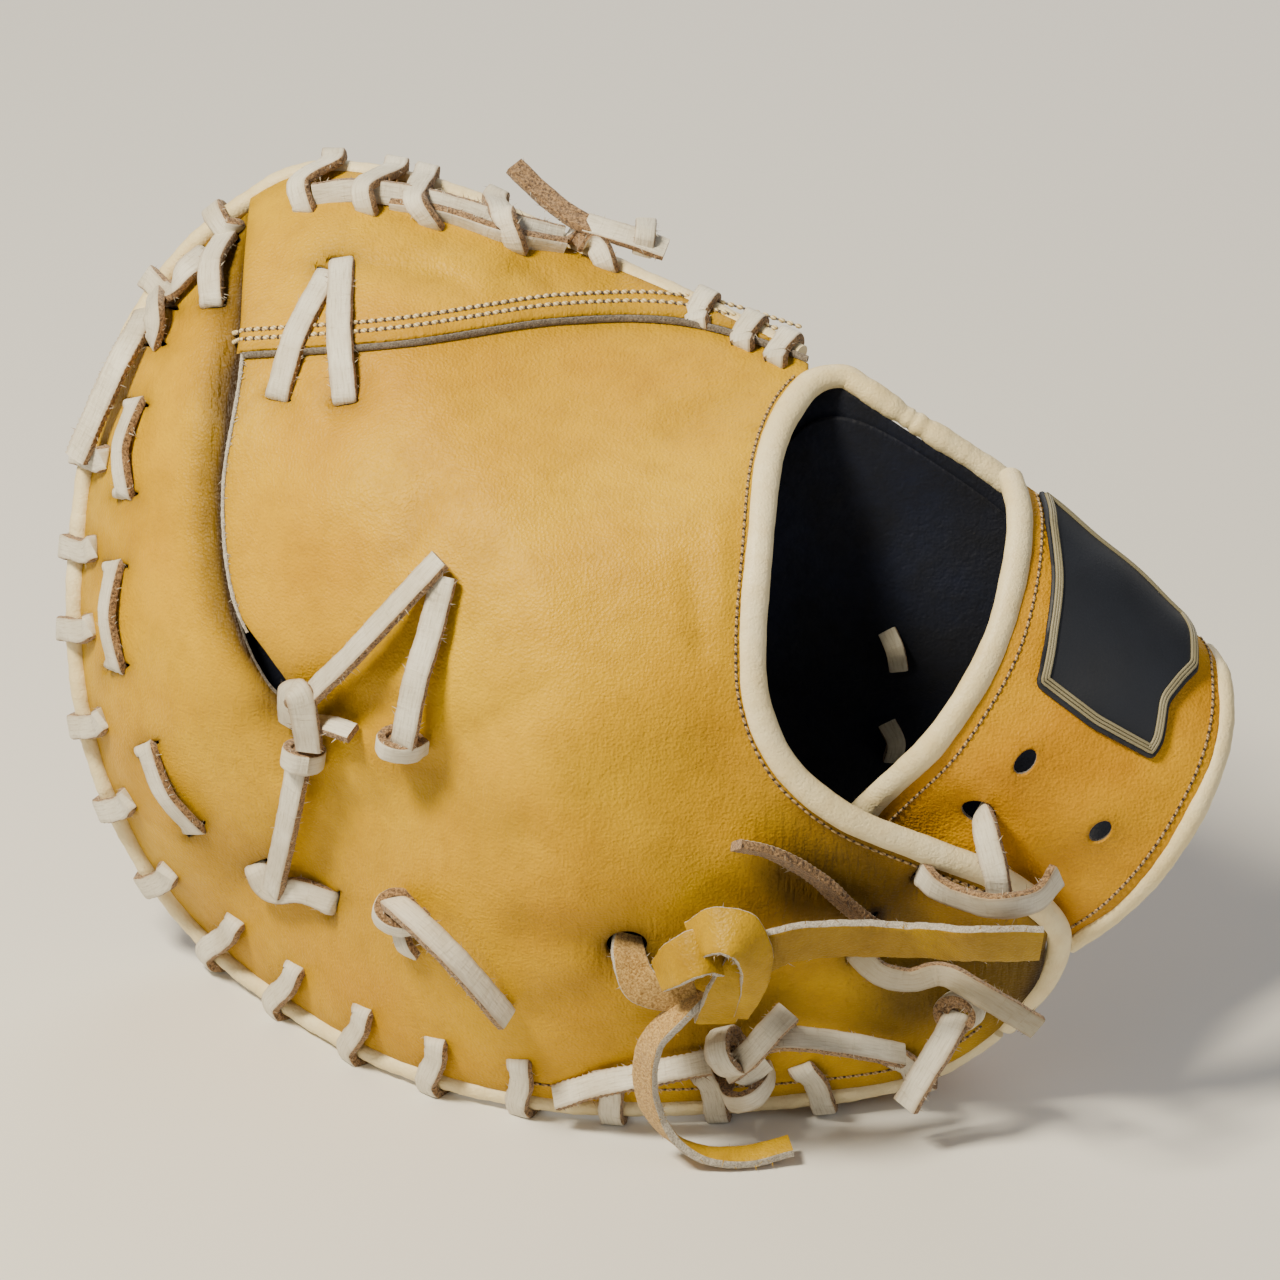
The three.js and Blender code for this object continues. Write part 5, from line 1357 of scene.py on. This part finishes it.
# The wrist strap: the middle of its binding on the hand side and on the wrist side
strap = {
    # how high it bulges, waves, is drawn in and folds
    "belly": 1.3, "wave": 0.5, "pull": -1.8, "ridge": 1.2,
    "hand": [(96, 42, 37), (98, 33, 49), (97, 20, 57), (91, -2, 63), (77, -25, 62), (64, -38, 50),
             (54, -48, 40)],
    "wrist": [(147, -3, 29), (150.5, -10, 42), (151, -20, 49), (148, -34, 53), (139, -52, 51),
              (126, -68, 39), (111.6, -79, 24.4)],
    # Round holes seen from in front: x, y, radius along and across the strap
    "holes": [(99.2, -31.3, 2.9, 2.3), (118.8, -49.1, 2.9, 2.3), (87.6, -43.8, 3.4, 4.2)],
    "patch": [(103.4, 30), (105.2, 17.2), (104.0, 3.1), (101.2, -11.7), (116, -22.7), (131.8, -31.0),
              (134.6, -26.6), (135.8, -17),
              (143.2, -9)],
    "patchThick": 2.2, "long": 116.0, "wide": 66.0, "stitchRows": (6.2, 61.4), "netMm": 1.4,
}


def strapSpot(along, across):
    hand, wrist = curveAt(strap["hand"], along), curveAt(strap["wrist"], along)
    return hand + (wrist - hand) * np.reshape(across, (-1, 1))


def strapNormals(along, across):
    low, high = np.clip(along - 0.02, 0, 1), np.clip(along + 0.02, 0, 1)
    length = strapSpot(high, across) - strapSpot(low, across)
    width = strapSpot(along, np.ones(len(along))) - strapSpot(along, np.zeros(len(along)))
    return unit(np.cross(length, width))


# The strap's flat plan is in mm: u along it, v across it
def onStrap(plan, lift):
    u, v = plan.T
    along, across = np.clip(u / strap["long"], 0, 1), v / strap["wide"]
    belly = strap["belly"] * np.sin(np.pi * across)
    belly = belly + strap["wave"] * np.sin(u / 7.0 + v / 9.0) * np.sin(v / 8.0)
    pull = strap["pull"] * np.exp(-((u - 92) ** 2 / 90 + (v - 18) ** 2 / 60))
    ridge = strap["ridge"] * np.exp(-((u - v * 0.5 - 74) ** 2 / 16)) * np.exp(-((v - 34) / 16) ** 2)
    rise = np.reshape(lift + belly + pull + ridge, (-1, 1))
    return strapSpot(along, across) + strapNormals(along, across) * rise


# Finds the plan place under points seen from in front
def strapPlan(flat):
    u, v = np.meshgrid(np.linspace(0, strap["long"], 160), np.linspace(0, strap["wide"], 90), indexing="ij")
    plan = np.column_stack([u.ravel(), v.ravel()])
    seen = onStrap(plan, 0)
    found = []
    for spot in np.asarray(flat, float):
        gap = (seen[:, 0] - spot[0]) ** 2 + (seen[:, 1] - spot[1]) ** 2 - seen[:, 2] * 0.001
        found.append(plan[np.argmin(gap)])
    found = np.array(found)
    for _ in range(3):
        here = onStrap(found, 0)[:, :2]
        byU = (onStrap(found + (0.3, 0), 0)[:, :2] - here) / 0.3
        byV = (onStrap(found + (0, 0.3), 0)[:, :2] - here) / 0.3
        miss = np.asarray(flat, float) - here
        turn = byU[:, 0] * byV[:, 1] - byU[:, 1] * byV[:, 0]
        du = (miss[:, 0] * byV[:, 1] - miss[:, 1] * byV[:, 0]) / turn
        dv = (byU[:, 0] * miss[:, 1] - byU[:, 1] * miss[:, 0]) / turn
        found = found + np.clip(np.column_stack([du, dv]), -1.5, 1.5)
    return found


def strapPieces():
    turn = np.linspace(0, 2 * np.pi, 22, endpoint=False)
    holes = [spot + np.column_stack([np.cos(turn) * hole[2], np.sin(turn) * hole[3]])
             for spot, hole in zip(strapPlan([hole[:2] for hole in strap["holes"]]), strap["holes"])]
    right, top = strap["long"] - 0.5, strap["wide"] - 1.5
    outline = np.array([(0.5, 1.5), (right, 1.5), (right, top), (0.5, top)])

    def kept(flat):
        return insideOf(flat, outline) & ~np.any([insideOf(flat, hole) for hole in holes], axis=0)

    def front(flat, sunk):
        return onStrap(flat, shell["leather"] / 2 + sunk)

    def back(flat, sunk):
        return onStrap(flat, -shell["leather"] / 2 + sunk)

    net = flatNet([outline, *holes], kept, strap["netMm"])
    addPiece("strapLeather", [wallOver(net, front, back)], [strapCowhide, navyLining, rawEdge],
             ["wrist_strap"])

    # The shield-shaped patch: a raised rim round a plain field
    corners = strapPlan(strap["patch"])
    corners = np.vstack([corners, [(1.2, corners[-1][1]), (1.2, corners[0][1])]])
    shield = evenly(corners, 1.2, closed=True)
    blurred = sum(np.roll(shield, k, axis=0) for k in (-1, 0, 1)) / 3
    low = shell["leather"] / 2 + 0.1

    def fieldFront(flat, sunk):
        return onStrap(flat, low + strap["patchThick"] - 0.7 + sunk)

    def fieldBack(flat, sunk):
        return onStrap(flat, low + sunk)

    net = flatNet([blurred], lambda flat: insideOf(flat, blurred), strap["netMm"])
    shapes = [wallOver(net, fieldFront, fieldBack)]
    ahead = unit(np.roll(blurred, -1, axis=0) - np.roll(blurred, 1, axis=0))
    inwards = np.column_stack([-ahead[:, 1], ahead[:, 0]])
    if not insideOf(blurred[:1] + inwards[:1] * 2, blurred)[0]:
        inwards = -inwards
    for inset, width, height in ((1.35, 0.8, 1.0), (2.05, 0.75, 1.15), (2.75, 0.8, 1.0)):
        ring = blurred + inwards * inset
        ring = np.vstack([ring, ring[:2]])
        points = onStrap(ring, low + strap["patchThick"] - 0.55)
        normals = strapNormals(np.clip(ring[:, 0] / strap["long"], 0, 1), ring[:, 1] / strap["wide"])
        rim = stripAlong(points, np.cross(unit(np.gradient(points, axis=0)), normals), width, height,
                         corner=3, sides=12)
        rim["finish"] = [3] * len(rim["finish"])
        shapes.append(rim)
    addPiece("strapPatch", shapes, [navyRubber, navyRubber, navyRubber, greyRubber], ["strap_patch"])


strapPieces()
print("strap done")


# Bindings: rolled cream leather. Pinches are their pitch, depth and seed, folds the deeper ones where the
# leather is bent most. The opening's widths are those where it starts, where it swells, round it and at its
# end.
rolls = {
    "rimThick": 6.2, "rimBack": 0.03, "rimPinches": (19, 0.04, 3),
    "rimFolds": [(26.4, 1.5, 0.13), (30.2, 0.7, 0.2), (33.4, 1.6, 0.16)],
    "openingWidths": (6.2, 6.6, 7.4, 7.0), "openingThick": 6.0, "openingRise": 0.4,
    "openingPinches": (31, 0.02, 1),
    "edgeThick": 5.2, "edgeStart": 0.12, "edgeEnd": 0.015, "edgePinches": (14, 0.04, 2),
    "handSize": (7.2, 6.2), "handPinches": (26, 0.02, 4), "wristThick": 5.0, "wristPinches": (22, 0.04, 5),
}


def rollPiece(name, node, points, normals, width, thick, ripple):
    across = np.cross(unit(np.gradient(points, axis=0)), normals)
    roll = stripAlong(points, across, width, thick, corner=2.0, step=0.7, sides=20, ripple=ripple)
    roll["finish"] = [0] * len(roll["finish"])
    return addPiece(name, [roll], [creamBinding], [node], flatAngle=80)


def bindingPieces():
    rimStart = angleOf(shell["roundWrist"][-2]) - rolls["rimBack"]
    rimEnd = angleOf(shell["edge"][0]) - rolls["rimBack"]
    rimMiddle, out, _, normal = edgeFrame(np.linspace(rimStart, rimEnd, 9), lace["bindingRim"], palmEdge,
                                          palmHeight)
    rollPiece("rimBinding", "rim_binding", rimMiddle, normal + out, 2.2 * lace["bindingRim"],
              rolls["rimThick"], pinches(*rolls["rimPinches"], folds=rolls["rimFolds"]))

    opening = np.array(shell["opening"][:-1])
    onOpening = pointsOn(backHeight, opening, -shell["leather"] / 2 + rolls["openingRise"])
    openNormals = normalsOf(plainBack, opening)
    lobeAngles = [angleOf(row) for row in shell["edge"][:-4:-1]]
    middle, out, _, normal = edgeFrame(lobeAngles, lace["bindingOpening"])
    rows = np.vstack([rimMiddle[-2:], onOpening, middle])
    normals = np.vstack([openNormals[:1], openNormals[:1], openNormals, normal + out * 0.5])
    first, second, around, last = rolls["openingWidths"]
    widths = [first, second] + [around] * len(onOpening) + [last] * len(middle)
    rollPiece("openingBinding", "opening_binding", rows, normals, widths, rolls["openingThick"],
              pinches(*rolls["openingPinches"]))

    start = angleOf(shell["edge"][0]) + rolls["edgeStart"]
    end = angleOf(shell["edge"][-3]) + 2 * math.pi - rolls["edgeEnd"]
    middle, out, _, normal = rollFrame(np.linspace(start, end, 90))
    rollPiece("edgeBinding", "edge_binding", middle, normal + out, 2.2 * lace["bindingEdge"],
              rolls["edgeThick"], pinches(*rolls["edgePinches"]))

    shares = np.linspace(0, 1, 14)
    normals = strapNormals(shares, np.zeros(14))
    rollPiece("strapHandBinding", "strap_hand_binding", strapSpot(shares, np.zeros(14)), normals,
              *rolls["handSize"], pinches(*rolls["handPinches"]))
    rollPiece("strapWristBinding", "strap_wrist_binding", strapSpot(shares, np.ones(14)), normals,
              2 * lace["bindingStrap"], rolls["wristThick"], pinches(*rolls["wristPinches"]))


bindingPieces()


# Stitching, sunk a little into the leather. A seam row has its distance from the seam and its lift, and the
# rows end where the photograph loses them.
sewing = {
    "thread": 0.42, "lift": 0.12, "seamThread": 0.66, "seamRows": ((3.2, 1.6), (5.6, 1.5)),
    "seamFrom": -106, "seamTo": 40, "openingTop": 66, "openingRight": 96, "openingInset": 1.1,
    "edgeDegrees": (262, 318), "edgeInset": 3.2,
}


def stitchPieces():
    def onBackRow(line, lift=sewing["lift"], thread=sewing["thread"]):
        return stitchesAlong(pointsOn(backHeight, line, lift), normalsOf(backHeight, line), thread=thread)

    seam = smoothLine(shell["seam"], 1)
    seam = seam[(seam[:, 0] > sewing["seamFrom"]) & (seam[:, 0] < sewing["seamTo"])]
    double = []
    for inset, lift in sewing["seamRows"]:
        double += onBackRow(leftOf(seam, inset), lift, sewing["seamThread"])
    addPiece("seamStitches", double, [creamThread, needleHoleShade], [])

    opening = smoothLine(shell["opening"], 1)
    opening = opening[(opening[:, 1] < sewing["openingTop"]) & (opening[:, 0] < sewing["openingRight"])]
    row = leftOf(opening, -(lace["bindingOpening"] + sewing["openingInset"]))
    addPiece("openingStitches", onBackRow(row), [brownThread, needleHoleShade], [])

    angles = np.radians(np.arange(*sewing["edgeDegrees"], 0.5))
    edge = fromPolar(angles, edgeAt(backEdge, angles)[0] - sewing["edgeInset"])
    addPiece("edgeStitches", onBackRow(edge), [brownThread, needleHoleShade], [])

    rows = []
    u = np.arange(2, strap["long"] - 2, 1.0)
    for v in strap["stitchRows"]:
        plan = np.column_stack([u, np.full(len(u), v)])
        normals = strapNormals(u / strap["long"], plan[:, 1] / strap["wide"])
        rows += stitchesAlong(onStrap(plan, shell["leather"] / 2 + 0.1), normals, thread=sewing["thread"])
    addPiece("strapStitches", rows, [brownThread, needleHoleShade], [])


stitchPieces()
print("bindings and stitches done")


# Lace loops over the edge binding, from a slit in the back to one in the palm: how far in their first rows
# lie, with their turns and lifts, the angles round the binding, how clear of it they run and how they lean
loopForm = {
    "into": (1.0, 0.86, 0.4), "under": (1.2, 0, 0), "turns": (-0.02, -0.014, -0.004),
    "lifts": (-2.3, 1.5, 0.6),
    "wrap": (-25, 30, 85, 130, 170), "clear": 0.35, "slackClear": 0.9,
    "lean": (0.2, 0.45, 0.7, 0.6, 0.4, 0, 0, 0, 0, 0), "leaning": 0.7, "slackLeaning": 0.9,
}


def loopShape(angle, group):
    slack = slackLoops.get(angle)
    turn = math.radians(slack["edge"] if slack else angle)
    middle, out, along, normal = [row[0] for row in rollFrame(turn)]
    if slack:
        way = np.array(slack["way"], float)
        inside = pointsAbove(backHeight, way[:, :2], way[:, 2])
    else:
        reach = edgeAt(backEdge, turn)[0] - group["back"] * np.array(loopForm["into"]) - loopForm["under"]
        flat = fromPolar(turn + np.array(loopForm["turns"]), reach)
        inside = pointsAbove(backHeight, flat, np.array(loopForm["lifts"]) + (0, 0, group["lift"]))
    palmReach = edgeAt(palmEdge, turn)[0]
    flat = fromPolar(np.array([turn + 0.02] * 2), palmReach - group["palm"] * np.array([0.5, 1.0]))
    palm = pointsOn(palmHeight, flat, -palmPadding(flat) - 1.6 - 0.7)
    ring = lace["bindingEdge"] + lace["thick"] / 2 + loopForm["slackClear" if slack else "clear"]
    wrap = [middle + normal * ring * math.cos(a) + out * ring * math.sin(a) + along * 0.6 * (i - 1.5)
            for i, a in enumerate(np.radians(loopForm["wrap"]))]
    points = np.vstack([inside, wrap, palm])
    across = np.cross(unit(np.gradient(points, axis=0)), unit(points - (middle - out * 1.2)))
    across = unit(across + np.sign(across @ along)[:, None] * along * 3)
    lean = np.array(loopForm["lean"]) * loopForm["slackLeaning" if slack else "leaning"]
    across = unit(across + np.sign(across[:, :1]) * lean[:, None] * (0, 0, 1))
    return stripAlong(points, across, lace["width"] - 0.4, lace["thick"], cup=0.2, step=0.6,
                      ripple=pinches(7, 0.03, int(angle)),
                      fuzz=lace["fuzz"] / 2)


def ringShape(ring):
    (x, y, lift), axis = ring["at"], unit(np.array(ring["axis"]))
    middle = pointsAbove(backHeight, [(x, y)], lift)[0]
    first = unit(np.cross((0, 1, 0), axis))
    second = np.cross(axis, first)
    rows = int(9 * ring["turns"])
    turn = ring.get("start", 0.3) + np.linspace(0, 2 * np.pi * ring["turns"], rows)
    grow = np.linspace(ring.get("inner", 0.9), 1.08, rows)[:, None]
    wide, high = ring["radii"]
    circle = np.outer(np.cos(turn), first) * wide + np.outer(np.sin(turn), second) * high
    points = middle + circle * grow
    points = points + np.outer(np.linspace(-0.5, 0.5, rows), axis) * ring.get("rise", 1.2)
    across = np.broadcast_to(-axis, points.shape)
    return stripAlong(points, across, ring.get("width", 5.4), lace["thick"], cup=0.15, step=0.6,
                      ripple=pinches(8, 0.04, rows),
                      fuzz=lace["fuzz"] / 3)


def lacePieces():
    number = 0
    for group in loops:
        for angle in group["angles"]:
            number += 1
            addPiece(f"edgeLoop{number:02d}", [loopShape(angle, group)], [rawhideLace, laceSuede, laceSuede],
                     [f"edge_loop_{number:02d}"])
    for node, strands in surfaceLaces.items():
        shapes = [strandShape(strand, lace["width"], lace["thick"]) for strand in strands]
        shapes += [ringShape(ring) for ring in rings if ring["node"] == node]
        parts = node.split("_")
        name = parts[0] + "".join(part.capitalize() for part in parts[1:])
        addPiece(name, shapes, [rawhideLace, laceSuede, laceSuede], [node])
    shapes = [strandShape(strand, thong["width"], thong["thick"]) for strand in thong["strands"]]
    addPiece("heelThong", shapes, [thongCowhide, thongSuede, paleEdge], ["heel_thong"])


lacePieces()


# Two short laces that show on the lining inside the hand opening
innerLace = {
    "width": 5.0, "thick": 1.8,
    "rows": [[(64.4, 2.6, 0.4), (66.6, -1.5, 3.2), (67.4, -7, 0.4)],
             [(64.2, -21.5, 0.4), (66, -26, 3.2), (65.2, -31, 0.4)]],
}


def innerLaces():
    shapes = []
    for rows in innerLace["rows"]:
        flat = np.array([row[:2] for row in rows])
        points = pointsOn(palmHeight, flat, np.array([row[2] for row in rows]) + shell["lining"])
        across = np.cross(unit(np.gradient(points, axis=0)), normalsOf(palmHeight, flat))
        shapes.append(stripAlong(points, across, innerLace["width"], innerLace["thick"], cup=0.2))
    addPiece("innerLaces", shapes, [rawhideLace, laceSuede, laceSuede], [])


innerLaces()
print("laces done")


# The stage: a plain pale floor and soft studio light. A lamp has its place, aim, size, watts and tint
studio = {
    "floorSize": 6, "floor": ("#dcdad5", "#e4e2de"), "world": "#f2eee6", "worldLight": 0.14,
    "lamps": {
        "topLamp": ((-0.62, -0.36, 1.15), (0, 0, 0.1), 0.26, 32, "#fff2d6"),
        "frontLamp": ((-0.9, -1.0, 0.7), (0, 0, 0.1), 0.9, 3.4, "#fff6e4"),
        "sideLamp": ((1.0, -0.5, 0.6), (0, 0, 0.1), 0.6, 2.5, "#f3f7ff"),
        "rimLamp": ((0.2, 1.0, 0.8), (0, 0, 0.1), 0.8, 6, "#ffffff"),
    },
}


def addStage():
    bpy.ops.mesh.primitive_plane_add(size=studio["floorSize"], location=(0, 0, 0))
    floor = bpy.context.object
    floor.name = "floor"
    material, tree, shader = newMaterial("pale_matt_paper", {"Roughness": 0.9})
    place = addNode(tree, "TexCoord")["Object"]
    cloud = addNode(tree, "TexNoise", {"Scale": 1.5, "Detail": 2}, {"Vector": place})["Fac"]
    dark, light = map(hexColour, studio["floor"])
    colour = addNode(tree, "MixRGB", {"Color1": dark, "Color2": light}, {"Fac": cloud})["Color"]
    tree.links.new(colour, shader.inputs["Base Color"])
    floor.data.materials.append(material)

    world = bpy.data.worlds.new("studio")
    bpy.context.scene.world = world
    world.use_nodes = True
    background = world.node_tree.nodes["Background"]
    background.inputs["Color"].default_value = hexColour(studio["world"])
    background.inputs["Strength"].default_value = studio["worldLight"]
    for name, (at, aim, size, power, colour) in studio["lamps"].items():
        bpy.ops.object.light_add(type="AREA", location=at)
        lamp = bpy.context.object
        lamp.name = name
        lamp.data.size = size
        lamp.data.energy = power
        lamp.data.color = hexColour(colour)[:3]
        away = np.array(at) - np.array(aim)
        lamp.rotation_euler = (math.atan2(math.hypot(away[0], away[1]), away[2]), 0,
                               math.atan2(away[0], -away[1]))


addStage()
print("stage done")
